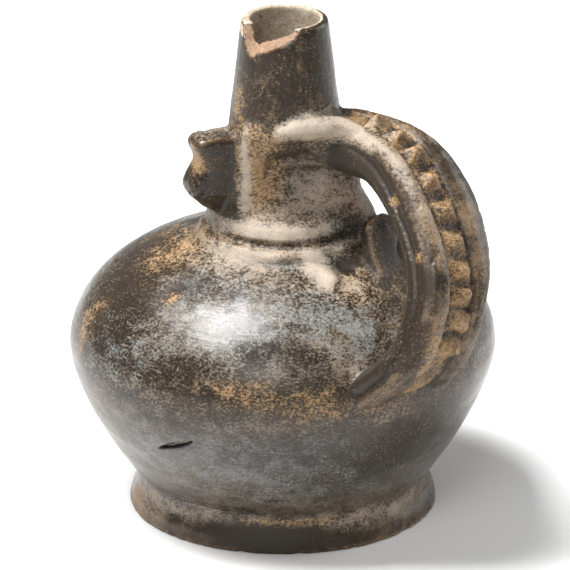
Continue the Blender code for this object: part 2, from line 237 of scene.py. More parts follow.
class Surface:
    """Vertices and edges of a mesh as arrays, with the measures that the relief needs."""

    def __init__(self, mesh):
        count = len(mesh.vertices)
        self.points = np.empty(count * 3)
        mesh.vertices.foreach_get("co", self.points)
        self.points = self.points.reshape(-1, 3) / MM - np.array((axis_x / MM, 0.0, 0.0))
        edges = np.empty(len(mesh.edges) * 2, int)
        mesh.edges.foreach_get("vertices", edges)
        self.edges = edges.reshape(-1, 2)
        self.ties = np.maximum(np.bincount(edges, minlength=count), 1)
        self.mesh = mesh

    def store(self):
        """Write the points back to the mesh."""
        points = (self.points + np.array((axis_x / MM, 0.0, 0.0))) * MM
        self.mesh.vertices.foreach_set("co", points.ravel())
        self.mesh.update()

    def spread(self, values):
        """Mean of each vertex's neighbours."""
        first, second = self.edges.T
        columns = values.reshape(len(values), -1)
        result = np.empty_like(columns)
        for k in range(columns.shape[1]):
            column = columns[:, k]
            total = np.bincount(first, column[second], len(column))
            total += np.bincount(second, column[first], len(column))
            result[:, k] = total / self.ties
        return result.reshape(values.shape)

    def soften(self, passes, weights, shrink=False):
        """Smooth the points where the weights say so, without shrinking unless asked."""
        weights = np.asarray(weights)[:, None]
        for _ in range(passes):
            self.points += 0.5 * weights * (self.spread(self.points) - self.points)
            if not shrink:
                self.points -= 0.53 * weights * (self.spread(self.points) - self.points)

    def blur(self, values, passes):
        """Values smoothed over the surface."""
        for _ in range(passes):
            values = 0.5 * (values + self.spread(values))
        return values

    def normals(self):
        """Outward ways at the vertices."""
        self.store()
        normals = np.empty(len(self.points) * 3, np.float32)
        self.mesh.vertex_normals.foreach_get("vector", normals)
        return normals.reshape(-1, 3).astype(float)

    def hollowness(self, passes):
        """How far, in millimetres, the surface lies below its own smoothed form."""
        level = self.blur(self.points, passes)
        return np.sum((level - self.points) * self.normals(), axis=1)

    def cylinder(self):
        """Reach, bearing in degrees and height of the points."""
        x, y, z = self.points.T
        return np.hypot(x, y), np.degrees(np.arctan2(y, x)), z

    def along_strap(self):
        """Share along, distance aside and distance out for points near the strap."""
        shares = np.linspace(0.05, 1.0, 160)
        points, _, out, aside, _ = strap_frames(shares)
        reach, bearing, height = self.cylinder()
        near = np.flatnonzero((reach > 14.0) & (np.abs(bearing) < 70.0) & (height > 40.0))
        share = np.full(len(self.points), -1.0)
        side = np.full(len(self.points), 99.0)
        rise = np.full(len(self.points), -99.0)
        for block in np.array_split(near, 24):
            gaps = self.points[block][:, None, :] - points[None, :, :]
            best = np.argmin(np.sum(gaps * gaps, axis=2), axis=1)
            gap = gaps[np.arange(len(block)), best]
            share[block] = shares[best]
            side[block] = np.sum(gap * aside[best], axis=1)
            rise[block] = np.sum(gap * out[best], axis=1)
        return share, side, rise


def mask_attribute(mesh, name, values):
    """Store values from 0 to 1 on the mesh's points."""
    attribute = mesh.attributes.get(name) or mesh.attributes.new(name, "FLOAT", "POINT")
    attribute.data.foreach_set("value", np.clip(values, 0.0, 1.0).astype(np.float32))


# Node helpers


def put(tree, kind, settings=None, inputs=None):
    """Add a node; inputs hold plain values or sockets to link."""
    node = tree.nodes.new(kind)
    for name, value in (settings or {}).items():
        setattr(node, name, value)
    for key, value in (inputs or {}).items():
        if isinstance(value, bpy.types.NodeSocket):
            tree.links.new(value, node.inputs[key])
        else:
            node.inputs[key].default_value = value
    return node


def calc(tree, operation, *values, clamp=False):
    """Result of a Math node."""
    settings = {"operation": operation, "use_clamp": clamp}
    return put(tree, "ShaderNodeMath", settings, dict(enumerate(values))).outputs[0]


def product(tree, *values):
    """Product of several sockets or numbers."""
    result = values[0]
    for value in values[1:]:
        result = calc(tree, "MULTIPLY", result, value)
    return result


def total(tree, *values):
    """Sum of several sockets or numbers, kept from 0 to 1."""
    result = values[0]
    for value in values[1:]:
        result = calc(tree, "ADD", result, value)
    return calc(tree, "ADD", result, 0.0, clamp=True)


def remap(tree, value, low, high, to_low=0.0, to_high=1.0):
    """Eased step between two levels."""
    settings = {"interpolation_type": "SMOOTHSTEP"}
    inputs = {"Value": value, "From Min": low, "From Max": high, "To Min": to_low, "To Max": to_high}
    return put(tree, "ShaderNodeMapRange", settings, inputs).outputs[0]


def mix_colour(tree, factor, first, second, blend="MIX"):
    """Mixed colour."""
    settings = {"data_type": "RGBA", "blend_type": blend}
    return put(tree, "ShaderNodeMix", settings, {0: factor, 6: first, 7: second}).outputs[2]


def mix_value(tree, factor, first, second):
    """Mixed number."""
    return put(tree, "ShaderNodeMix", {"data_type": "FLOAT"}, {0: factor, 2: first, 3: second}).outputs[0]


def object_place(tree, scale=(1.0, 1.0, 1.0), turn=(0.0, 0.0, 0.0)):
    """Object coordinates, stretched and turned."""
    place = put(tree, "ShaderNodeTexCoord").outputs["Object"]
    inputs = {"Vector": place, "Scale": scale, "Rotation": turn}
    return put(tree, "ShaderNodeMapping", None, inputs).outputs[0]


def noise(tree, place, scale, detail=4.0, roughness=0.55, distortion=0.0):
    """Noise from 0 to 1."""
    inputs = {"Vector": place, "Scale": scale, "Detail": detail, "Roughness": roughness}
    inputs["Distortion"] = distortion
    return put(tree, "ShaderNodeTexNoise", None, inputs).outputs[0]


def mask(tree, name):
    """A mask that is stored on the mesh."""
    return put(tree, "ShaderNodeAttribute", {"attribute_name": name}).outputs["Fac"]


def new_group(name, kind, inputs, outputs):
    """Node group with its sockets; inputs are names, kinds and defaults."""
    tree = bpy.data.node_groups.new(name, kind)
    for label, socket, value in inputs:
        made = tree.interface.new_socket(label, in_out="INPUT", socket_type=socket)
        if value is not None:
            made.default_value = value
    for label, socket in outputs:
        tree.interface.new_socket(label, in_out="OUTPUT", socket_type=socket)
    return tree, put(tree, "NodeGroupInput").outputs, put(tree, "NodeGroupOutput").inputs


def shader_group(name, inputs, outputs):
    """Shader node group whose sockets are all numbers; inputs are names and defaults."""
    number = "NodeSocketFloat"
    given = [(label, number, value) for label, value in inputs.items()]
    return new_group(name, "ShaderNodeTree", given, [(label, number) for label in outputs])


def geometry_group(name, inputs):
    """Geometry tree that takes a mesh and a material besides its own inputs."""
    given = [("Geometry", "NodeSocketGeometry", None)]
    for label, value in inputs.items():
        kind = "NodeSocketInt" if isinstance(value, int) else "NodeSocketFloat"
        given.append((label, kind, value))
    given.append(("Material", "NodeSocketMaterial", None))
    return new_group(name, "GeometryNodeTree", given, [("Geometry", "NodeSocketGeometry")])


def end_tree(tree, geometry, given, result):
    """Make instances real, set the material and hand the geometry out."""
    real = put(tree, "GeometryNodeRealizeInstances", None, {"Geometry": geometry}).outputs[0]
    inputs = {"Geometry": real, "Material": given["Material"]}
    made = put(tree, "GeometryNodeSetMaterial", None, inputs).outputs[0]
    tree.links.new(made, result["Geometry"])


def stored(tree, name, kind="FLOAT"):
    """Attribute of the points, in a geometry tree."""
    settings = {"data_type": kind}
    return put(tree, "GeometryNodeInputNamedAttribute", settings, {"Name": name}).outputs["Attribute"]


def use_group(tree, group, inputs=None):
    """Outputs of a group placed in a material."""
    return put(tree, "ShaderNodeGroup", {"node_tree": group}, inputs).outputs


# Shader node groups


def mottle_group():
    """Clouds of firing at three sizes."""
    tree, given, result = shader_group("Firing mottle", {"Size": 30.0}, ("Broad", "Middle", "Fine"))
    place = object_place(tree, (1.0, 1.0, 1.35), (0.3, 0.1, 0.0))
    broad = noise(tree, place, given["Size"], 3.0, 0.5, 0.6)
    middle = noise(tree, place, calc(tree, "MULTIPLY", given["Size"], 4.0), 8.0, 0.62, 0.4)
    place = object_place(tree, (1.0, 1.0, 1.6), (0.2, -0.2, 0.5))
    fine = noise(tree, place, calc(tree, "MULTIPLY", given["Size"], 25.0), 6.0, 0.72, 0.2)
    tree.links.new(remap(tree, broad, 0.32, 0.68), result["Broad"])
    tree.links.new(remap(tree, middle, 0.30, 0.70), result["Middle"])
    tree.links.new(remap(tree, fine, 0.36, 0.64), result["Fine"])
    return tree


def stroke_group():
    """Strokes of the burnishing stone, along the ways that are stored on the mesh."""
    tree, given, result = shader_group("Burnish strokes", {"Density": 380.0}, ("Streaks", "Wide"))
    place = put(tree, "ShaderNodeAttribute", {"attribute_name": "stroke_place"}).outputs["Vector"]
    streaks = noise(tree, place, given["Density"], 6.0, 0.65, 0.25)
    wide = noise(tree, place, calc(tree, "MULTIPLY", given["Density"], 0.28), 4.0, 0.55, 0.2)
    tree.links.new(remap(tree, streaks, 0.34, 0.66), result["Streaks"])
    tree.links.new(remap(tree, wide, 0.34, 0.66), result["Wide"])
    return tree


def scratch_group():
    """Short straight scratches in three directions, in groups, and rubbed specks."""
    names = ("Lines", "Light", "Dark")
    tree, given, result = shader_group("Scratches and specks", {"Amount": 1.0}, names)
    lines = None
    turns = ((0.2, 0.5, 0.4), (0.9, -0.3, 1.5), (-0.4, 0.9, 2.6), (0.3, -0.9, 0.9))
    for turn in turns:
        place = object_place(tree, (0.07, 1.0, 1.0), turn)
        line = remap(tree, noise(tree, place, 1250.0, 1.0, 0.4), 0.63, 0.72)
        gate = remap(tree, noise(tree, object_place(tree, (1.0, 1.0, 1.0), turn), 60.0, 3.0), 0.50, 0.62)
        line = product(tree, line, gate)
        lines = line if lines is None else calc(tree, "MAXIMUM", lines, line)
    place = object_place(tree, (1.0, 1.0, 1.2), (0.4, 0.0, 0.9))
    specks = noise(tree, place, 950.0, 4.0, 0.7, 0.2)
    gather = noise(tree, place, 70.0, 6.0, 0.7)
    light = product(tree, remap(tree, specks, 0.55, 0.66), remap(tree, gather, 0.40, 0.62))
    dark = product(tree, remap(tree, specks, 0.46, 0.36), remap(tree, gather, 0.36, 0.58))
    for name, value in zip(names, (lines, light, dark)):
        tree.links.new(product(tree, value, given["Amount"]), result[name])
    return tree


def grain_group():
    """Height of the fine grain of the clay, with small pits."""
    tree, given, result = shader_group("Clay grain", {"Coarse": 0.5}, ("Height", "Pits"))
    place = object_place(tree)
    fine = noise(tree, place, 1500.0, 5.0, 0.65)
    rough = noise(tree, place, 520.0, 5.0, 0.6)
    pits = remap(tree, noise(tree, place, 330.0, 2.0, 0.5), 0.33, 0.24)
    height = mix_value(tree, given["Coarse"], fine, rough)
    tree.links.new(calc(tree, "SUBTRACT", height, product(tree, pits, 0.6)), result["Height"])
    tree.links.new(pits, result["Pits"])
    return tree


def broken_up(tree, value, pattern, strength):
    """A soft mask whose edge follows a pattern."""
    present = remap(tree, value, 0.0, 0.35)
    shift = product(tree, calc(tree, "SUBTRACT", pattern, 0.5), strength, present)
    return remap(tree, calc(tree, "ADD", value, shift), 0.10, 0.90)


def clay_material(settings, groups):
    """Smoke-blackened burnished clay with soil, wear and a fresh break, and painted shade and painted
    highlight.
    """
    material = bpy.data.materials.new("burnished_blackware")
    material.use_nodes = True
    tree = material.node_tree
    shader = tree.nodes["Principled BSDF"]
    mottle = use_group(tree, groups["mottle"], {"Size": settings.mottle_size})
    strokes = use_group(tree, groups["strokes"], {"Density": settings.stroke_density})
    marks = use_group(tree, groups["scratches"], {"Amount": settings.scratches})
    grain = use_group(tree, groups["grain"], {"Coarse": 0.45})
    black = tuple(settings.black)
    ochre = tuple(settings.ochre)
    soil_and_highlight = tuple(settings.soil_and_highlight)
    brown_mask = mask(tree, "brown")
    slate_mask = mask(tree, "slate")
    # The smoke mask holds real smoke and also painted shade; both darken the clay through this lift
    lift = calc(tree, "SUBTRACT", mask(tree, "worn"), mask(tree, "smoke_and_shade"))

    # Mottling: how far the smoke is worn away, from black at 0 to bare clay at 1
    fine = mix_value(tree, product(tree, mask(tree, "streaked"), 0.45), mottle["Fine"], strokes["Streaks"])
    wear = calc(tree, "ADD", product(tree, mottle["Broad"], 0.22), product(tree, mottle["Middle"], 0.34))
    wear = calc(tree, "ADD", wear, product(tree, fine, 0.44))
    calm = calc(tree, "ADD", 0.30, product(tree, lift, 0.45))
    calm = calc(tree, "ADD", calm, product(tree, calc(tree, "SUBTRACT", wear, 0.5), 0.80))
    lively = remap(tree, calc(tree, "ADD", wear, product(tree, lift, 0.36)), 0.34, 0.90)
    wear = mix_value(tree, mask(tree, "speckled"), calm, lively)
    wear = calc(tree, "ADD", wear, 0.0, clamp=True)

    # Colours at the two ends, warmer where brown and cooler where slate
    deep = mix_colour(tree, brown_mask, black, tuple(settings.umber))
    pale = mix_colour(tree, brown_mask, tuple(settings.drab), tuple(settings.brown))
    cool = broken_up(tree, slate_mask, mottle["Middle"], 0.8)
    pale = mix_colour(tree, cool, pale, tuple(settings.slate))
    bare = mix_colour(tree, wear, deep, pale)

    # Specks of lighter clay, and darker ones between them
    bright = mix_colour(tree, product(tree, brown_mask, 0.8), soil_and_highlight, ochre)
    speckled = product(tree, marks["Light"], mask(tree, "speckled"), settings.speck_strength)
    bare = mix_colour(tree, speckled, bare, bright)
    bare = mix_colour(tree, product(tree, marks["Dark"], mask(tree, "speckled"), 0.75), bare, black)

    # Ochre clay on rubbed places
    pattern = mix_value(tree, 0.55, mottle["Middle"], mottle["Fine"])
    high = broken_up(tree, mask(tree, "ochre"), pattern, 1.2)
    ochre_tone = mix_colour(tree, mottle["Fine"], tuple(settings.brown), ochre)
    bare = mix_colour(tree, product(tree, high, 0.85), bare, ochre_tone)
    rubbed = product(tree, remap(tree, mask(tree, "ridge"), 0.3, 1.0), mottle["Fine"], 0.5)
    rubbed = product(tree, rubbed, calc(tree, "SUBTRACT", 1.0, mask(tree, "smoke_and_shade"), clamp=True))
    bare = mix_colour(tree, rubbed, bare, ochre)

    # Pale soil where it was never cleaned off, and painted highlight, as the same pale cover on tops that
    # face the overhead light
    hollow = product(tree, mask(tree, "recess"), mask(tree, "dirty"), 0.6)
    earth_and_highlight = broken_up(tree, calc(tree, "MAXIMUM", mask(tree, "soil_and_highlight"), hollow), pattern, 0.9)
    earth_and_highlight_colour = mix_colour(tree, product(tree, mottle["Fine"], 0.70), soil_and_highlight, tuple(settings.brown))
    cover = product(tree, earth_and_highlight, calc(tree, "ADD", 0.70, product(tree, mottle["Fine"], 0.25)))
    bare = mix_colour(tree, cover, bare, earth_and_highlight_colour)
    # Painted shade: creases are darkened towards black
    crease_shade = product(tree, mask(tree, "crease_shade"), remap(tree, pattern, 0.9, 0.2), 0.8)
    bare = mix_colour(tree, crease_shade, bare, black)

    # Pits, thin light scratches and the open slit, whose floor is painted near black as painted shade in the
    # crack
    lines = product(tree, marks["Lines"], calc(tree, "SUBTRACT", 1.0, mask(tree, "streaked")))
    bare = mix_colour(tree, product(tree, grain["Pits"], 0.7), bare, black)
    bare = mix_colour(tree, product(tree, lines, settings.scratch_strength), bare, soil_and_highlight)
    bare = mix_colour(tree, mask(tree, "slit"), bare, slit_black)

    # Fresh break
    fresh = broken_up(tree, mask(tree, "paste"), mottle["Fine"], 0.15)
    core = mix_colour(tree, mottle["Fine"], tuple(settings.paste), tuple(settings.paste_pale))
    tree.links.new(mix_colour(tree, fresh, bare, core), shader.inputs["Base Color"])

    dull = calc(tree, "MAXIMUM", product(tree, earth_and_highlight, 0.8), fresh)
    dull = calc(tree, "MAXIMUM", dull, product(tree, high, 0.6))
    dull = calc(tree, "MAXIMUM", dull, mask(tree, "rough_clay"))
    dull = calc(tree, "MAXIMUM", dull, mask(tree, "slit"))
    shine = mix_value(tree, strokes["Wide"], settings.gloss_low, settings.gloss_high)
    shine = calc(tree, "ADD", shine, product(tree, wear, 0.06))
    tree.links.new(mix_value(tree, dull, shine, 0.78), shader.inputs["Roughness"])
    shader.inputs["Specular IOR Level"].default_value = 0.36

    height = calc(tree, "ADD", product(tree, grain["Height"], 0.6), product(tree, strokes["Streaks"], 0.4))
    height = calc(tree, "SUBTRACT", height, product(tree, lines, 0.5))
    height = calc(tree, "ADD", height, product(tree, dull, grain["Height"], 1.8))
    height = calc(tree, "ADD", height, product(tree, marks["Light"], 0.25))
    bump = put(tree, "ShaderNodeBump", None, {"Strength": 0.36, "Distance": 0.0002, "Height": height})
    tree.links.new(bump.outputs[0], shader.inputs["Normal"])
    return material


# Marks pressed or scraped into the surface: bearing, height, half length, half height,
# lean, depth, nearest and furthest reach
scrape_marks = (
    (-91.6, 94.4, 2.0, 1.0, 0.8, 0.7, 40.0, 90.0),
    (-116.0, 89.0, 4.2, 0.5, 0.25, 0.35, 40.0, 90.0),
    (-106.6, 89.8, 2.2, 0.5, 0.6, 0.35, 40.0, 90.0),
    (-141.0, 90.7, 0.8, 1.6, 0.0, 0.4, 40.0, 90.0),
    (-65.3, 132.3, 1.6, 2.6, 1.1, 1.3, 10.0, 24.0),
    (-58.0, 47.0, 1.4, 0.8, 0.0, 0.4, 40.0, 90.0),
    (-30.0, 72.0, 2.0, 1.0, -0.5, 0.5, 40.0, 90.0),
    (-42.0, 77.0, 1.2, 1.8, 0.0, 0.5, 40.0, 90.0),
    (-12.0, 102.5, 4.5, 3.2, 0.0, 1.4, 33.0, 44.0),
)
# Lines of clay raised or pressed in: half width, lift, then reach, bearing and height of points
drawn_lines = (
    (2.6, 1.9, ((31.5, -46.0, 105.6), (34.0, -32.0, 104.8), (38.5, -24.5, 103.0), (44.0, -21.5, 99.6))),
    (1.1, -1.3, ((27.0, -120.0, 108.2), (27.0, -90.0, 108.2), (27.0, -60.0, 108.2), (27.4, -34.0, 108.0))),
    (1.8, 0.9, ((30.0, -152.0, 106.0), (31.0, -110.0, 105.6), (31.0, -60.0, 105.6), (32.0, -40.0, 105.4))),
    (1.5, 0.8, ((40.0, 27.0, 113.0), (38.5, 18.0, 106.5), (43.0, 6.0, 101.0), (49.0, 0.0, 96.5))),
    (2.2, 1.3, ((17.9, -76.0, 136.8), (16.8, -63.0, 142.0), (16.3, -35.0, 143.6), (22.2, -6.0, 142.8))),
    (2.4, -0.9, ((17.0, -56.0, 134.0), (16.0, -35.0, 137.5), (19.0, -14.0, 137.0))),
)


def press_marks(surface):
    """Press the marks into the surface, each with a low lip around it."""
    reach, bearing, height = surface.cylinder()
    move = np.zeros(len(reach))
    for at, level, half, rise, lean, depth, near, far in scrape_marks:
        aside = np.radians(bearing - at) * reach
        up = height - level - lean * aside
        dent = np.exp(-((aside / half) ** 2) - (up / rise) ** 2)
        lip = np.exp(-((aside / (1.5 * half)) ** 2) - (up / (2.0 * rise)) ** 2)
        move += depth * (0.4 * lip - 1.4 * dent) * (reach > near) * (reach < far)
    for half, lift, stops in drawn_lines:
        table = np.array(stops)
        line = polar(table[:, 0], table[:, 1], table[:, 2])
        shares = np.linspace(0.0, len(line) - 1.0, 60)
        line = np.stack([np.interp(shares, np.arange(len(line)), line[:, k]) for k in range(3)], axis=1)
        near = np.flatnonzero(np.abs(height - table[:, 2].mean()) < 16.0)
        gaps = surface.points[near][:, None, :] - line[None, :, :]
        gap = np.sqrt(np.min(np.sum(gaps * gaps, axis=2), axis=1))
        move[near] += lift * fade(gap, 0.0, half)
    surface.points += surface.normals() * move[:, None]


def cut_slit(surface):
    """Open the slit in the belly wall, and mark its floor."""
    reach, bearing, height = surface.cylinder()
    outer = belly_reach(height)
    wall = np.abs(reach - outer) < slit_wall
    aside = np.radians(bearing - slit_bearing) * reach
    up = height - slit_level - slit_lean * aside
    thick = slit_half_width * (1.0 - (aside / slit_half_length) ** 2).clip(0.0) ** 0.6
    shape = 1.0 - smooth_step(np.abs(up) / thick.clip(0.05), 0.7, 1.5)
    shape *= (thick > 0.2) * wall
    near = wall * fade(aside, 0.0, 9.0) * fade(up, 0.0, 2.2) > 0.2
    target = outer - slit_depth * shape
    scale = np.where(near, target / np.maximum(reach, 1.0), 1.0)
    surface.points[:, :2] *= scale[:, None]
    mask_attribute(surface.mesh, "slit", smooth_step(shape, 0.05, 0.35))


def surface_regions(surface):
    """Named parts of the surface, as yes-or-no arrays."""
    reach, bearing, height = surface.cylinder()
    share, side, rise = surface.along_strap()
    strap = (np.abs(side) < strap_side) & (rise > -strap_sink) & (share > strap_start)
    strap &= (reach > belly_reach(height) + 0.8) | (height > shoulder_height)
    strap &= (reach > strap_root[0]) | (height > strap_root[1])
    channel = strap & (np.abs(side) < channel_half_width + 2.0) & (rise > -1.5)
    lug = between(height, lug_heights) & between(bearing, lug_bearings) & (reach > lug_foot_reach)
    above = between(height, brow_heights) & (reach > spout_foot_radius(height))
    fold = between(reach, fold_reaches) & between(bearing, fold_bearings) & between(height, fold_heights)
    region = {
        "inside": is_inside(reach, height),
        "strap": strap,
        "channel": channel,
        "ribs": strap & ~channel & (rise > 0.0),
        "lip": strap & (rise < -2.5) & (side < 0.0),
        "under": strap & (rise < -5.0) & (side > -15.0),
        "neck": between(height, neck_heights) & (reach < neck_reach) & ~strap & ~lug,
        "lug": lug,
        "spout": (height > spout_foot) & (reach < spout_reach) & ~above,
        "collar": between(height, collar_heights) & (reach < collar_reach) & ~strap,
        "ledge": between(height, ledge_heights) & between(reach, ledge_reaches) & ~strap,
        "fold": fold & ~strap,
        "brow": above & between(bearing, brow_bearings) & (reach < brow_reach),
        "foot": height < waist_height - 1.5,
        "belly": (reach > 40.0) & (height < shoulder_height) & ~strap,
        "anywhere": reach > 0.0,
    }
    region["body"] = region["neck"] | strap | region["foot"] | region["fold"]
    region["upper"] = region["spout"] | lug
    return region, share, side, rise


def relief_masks(surface):
    """Masks that steer the relief, and how hollow or ridged the surface is."""
    mesh = surface.mesh
    region = surface_regions(surface)[0]
    hollow = surface.blur(surface.hollowness(9), 2)
    wide_hollow = surface.blur(surface.hollowness(40), 4)
    mask_attribute(mesh, "recess", smooth_step(hollow + 0.35 * wide_hollow, 0.03, 0.35))
    bearing, height = surface.cylinder()[1:]
    # Painted shade: creases found here are darkened in the shader
    crease_shade = smooth_step(surface.blur(surface.hollowness(3), 1), 0.015, 0.08)
    mask_attribute(mesh, "crease_shade", crease_shade * (height < 178.0))
    plain = (fade(bearing, slit_bearing, 12.0) * fade(height, slit_level, 8.0) < 0.3) & (height < 181.0)
    mask_attribute(mesh, "ridge", plain * smooth_step(-hollow, 0.05, 0.24))
    edges = region["ribs"] | region["foot"] | region["lug"] | region["spout"]
    chip = np.where(edges & (height < 178.0), smooth_step(-hollow, 0.02, 0.14), 0.0)
    mask_attribute(mesh, "chip", chip * ~region["channel"])
    lumpy = region["neck"] | region["brow"] | region["collar"] | region["foot"]
    mask_attribute(mesh, "rough", 0.12 + 0.88 * surface.blur(lumpy.astype(float), 6))
    mask_attribute(mesh, "outside", 1.0 - region["inside"])


# Patches of the finish by mask and region: bearing, height, half width, half height, amount
finish_patches = {
    ("brown", "belly"): (
        (-138.0, 90.0, 38.0, 22.0, 1.0),
        (-122.0, 70.0, 16.0, 12.0, 0.6),
        (-112.0, 52.0, 22.0, 16.0, 0.5),
        (-45.0, 66.0, 50.0, 9.0, 0.8),
        (-60.0, 101.0, 60.0, 4.0, 0.55),
        (-6.0, 60.0, 30.0, 34.0, 0.7),
    ),
    ("matt", "belly"): (
        (-91.6, 94.4, 5.0, 4.0, 1.2),
    ),
    ("matt", "foot"): (
        (-52.0, 5.5, 34.0, 8.0, 0.6),
    ),
    ("ochre", "belly"): (
        (-121.0, 75.0, 12.0, 11.0, 0.4),
        (-91.0, 93.2, 2.6, 1.4, 0.9),
        (-56.0, 70.0, 18.0, 6.0, 0.34),
        (-38.0, 66.0, 18.0, 7.0, 0.44),
        (-20.0, 68.0, 14.0, 9.0, 0.44),
        (-14.0, 98.0, 12.0, 5.0, 0.55),
        (-150.0, 102.0, 9.0, 4.0, 0.6),
        (-118.0, 99.0, 14.0, 4.0, 0.45),
    ),
    ("ochre", "brow"): (
        (-14.0, 148.0, 14.0, 2.4, 0.55),
        (-60.0, 146.0, 8.0, 4.0, 0.5),
    ),
    ("ochre", "collar"): (
        (-78.0, 108.0, 30.0, 1.4, 0.85),
        (-112.0, 106.0, 12.0, 3.0, 0.7),
    ),
    ("ochre", "foot"): (
        (-117.0, 6.0, 12.0, 6.0, 0.55),
        (-36.0, 12.0, 26.0, 2.0, 0.6),
    ),
    ("ochre", "ledge"): (
        (-120.0, 104.0, 20.0, 5.0, 0.6),
    ),
    ("ochre", "lug"): (
        (-114.0, 136.5, 4.5, 4.2, 1.2),
    ),
    ("ochre", "neck"): (
        (-74.0, 132.0, 7.0, 18.0, 0.6),
    ),
    ("ochre", "spout"): (
        (-104.0, 157.0, 5.0, 8.0, 0.5),
    ),
    ("slate", "belly"): (
        (-27.0, 94.0, 22.0, 9.0, 0.8),
        (-20.0, 86.0, 16.0, 10.0, 0.6),
        (-76.0, 98.0, 26.0, 7.0, 0.65),
        (-62.0, 88.0, 30.0, 10.0, 0.55),
        (-100.0, 76.0, 26.0, 12.0, 0.75),
        (-62.0, 42.0, 52.0, 15.0, 0.85),
        (-40.0, 30.0, 40.0, 10.0, 0.6),
    ),
    ("smoke_and_shade", "anywhere"): (
        # Painted shade in the pocket under the strap's root, below the neck's flare
        (-4.0, 110.0, 9.0, 6.0, 1.1),
    ),
    ("smoke_and_shade", "belly"): (
        (-50.0, 69.0, 26.0, 8.0, 0.42),
        (-18.0, 84.0, 13.0, 8.0, 0.3),
        (-13.0, 43.0, 28.0, 15.0, 0.7),
        (-38.0, 46.0, 22.0, 9.0, 0.45),
        (-28.0, 34.0, 18.0, 8.0, 0.3),
        (-106.0, 86.0, 18.0, 10.0, 0.6),
        (-134.0, 86.0, 34.0, 22.0, 0.95),
        (-124.0, 66.0, 16.0, 14.0, 0.4),
        (-90.0, 66.0, 22.0, 9.0, 0.35),
        (-100.0, 74.0, 22.0, 8.0, 0.1),
        # Painted shadow inside the gouge
        (-91.6, 95.6, 2.6, 0.9, 1.0),
    ),
    ("smoke_and_shade", "fold"): (
        # Painted shade in the pocket under the strap's root
        (14.0, 108.0, 16.0, 14.0, 0.7),
    ),
    ("smoke_and_shade", "foot"): (
        (-52.0, 5.5, 30.0, 7.0, 1.2),
    ),
    ("smoke_and_shade", "ledge"): (
        # Painted shade in the pocket under the strap's root
        (-8.0, 104.0, 7.0, 5.0, 0.9),
    ),
    ("smoke_and_shade", "lug"): (
        # Painted shade on the lug's side, which faces away from the overhead light, and beneath the lug
        (-100.0, 130.0, 9.0, 13.0, 0.95),
        (-116.0, 122.0, 8.0, 6.0, 0.6),
        (-110.0, 142.0, 6.0, 2.0, 0.4),
    ),
    ("smoke_and_shade", "neck"): (
        # Painted shade in the hollow under the brow
        (-26.0, 135.0, 13.0, 8.0, 1.3),
        (-38.0, 128.0, 6.0, 8.0, 0.55),
    ),
    ("soil_and_highlight", "belly"): (
        (-16.0, 98.0, 14.0, 3.0, 0.4),
        (-24.0, 76.0, 4.0, 5.0, 0.5),
        (-66.0, 101.5, 26.0, 2.4, 0.36),
        (-18.0, 58.0, 16.0, 3.0, 0.3),
    ),
    ("soil_and_highlight", "brow"): (
        # Pale soil and painted highlight on the brow's top
        (-30.0, 151.5, 18.0, 4.5, 1.0),
        (6.0, 151.0, 16.0, 5.0, 0.95),
    ),
    ("soil_and_highlight", "collar"): (
        # Pale soil and painted highlight on the collar's tops
        (-62.0, 111.6, 30.0, 3.0, 1.0),
        (-60.0, 105.6, 34.0, 1.6, 1.0),
    ),
    ("soil_and_highlight", "foot"): (
        (-17.0, 9.0, 12.0, 4.0, 0.42),
        (5.0, 10.0, 13.0, 4.0, 0.58),
        (-100.0, 10.0, 24.0, 4.0, 0.55),
    ),
    ("soil_and_highlight", "ledge"): (
        # Pale soil and painted highlight on the ledge
        (-66.0, 104.6, 30.0, 3.2, 0.9),
        (-25.0, 102.5, 6.5, 4.6, 1.0),
    ),
    ("soil_and_highlight", "lug"): (
        # Pale soil and painted highlight on the lug's top
        (-118.0, 146.0, 10.0, 2.2, 0.55),
    ),
    ("soil_and_highlight", "neck"): (
        # The first is partly a painted highlight on the neck's rounded corner, partly pale soil
        (-87.0, 130.0, 1.5, 21.0, 1.2),
        (0.0, 124.0, 13.0, 11.0, 0.5),
        (-40.0, 117.5, 26.0, 3.0, 0.35),
        (-84.0, 116.0, 8.0, 4.0, 0.35),
    ),
    ("soil_and_highlight", "spout"): (
        # Pale soil and painted highlight on the upward fillet at the spout's foot
        (-20.0, 153.5, 16.0, 3.0, 0.35),
    ),
    ("worn", "belly"): (
        (-60.0, 96.0, 24.0, 6.0, 0.12),
        (-24.0, 89.0, 15.0, 8.0, 0.6),
        (-32.0, 96.0, 18.0, 5.0, 0.25),
        (-62.0, 88.0, 24.0, 9.0, 0.1),
        # Painted light: the lower left of the belly is lightened as by light bounced from the floor
        (-112.0, 44.0, 22.0, 12.0, 0.25),
        (-70.0, 44.0, 34.0, 12.0, 0.22),
    ),
    ("worn", "foot"): (
        (-100.0, 6.0, 24.0, 8.0, 0.3),
    ),
    ("worn", "neck"): (
        (-70.0, 126.0, 9.0, 16.0, 0.75),
        (5.0, 122.0, 16.0, 12.0, 0.6),
    ),
    ("worn", "spout"): (
        (-64.0, 153.0, 14.0, 4.0, 0.25),
        (0.0, 166.0, 12.0, 14.0, 0.35),
        (-22.0, 168.0, 4.0, 12.0, 0.6),
    ),
}
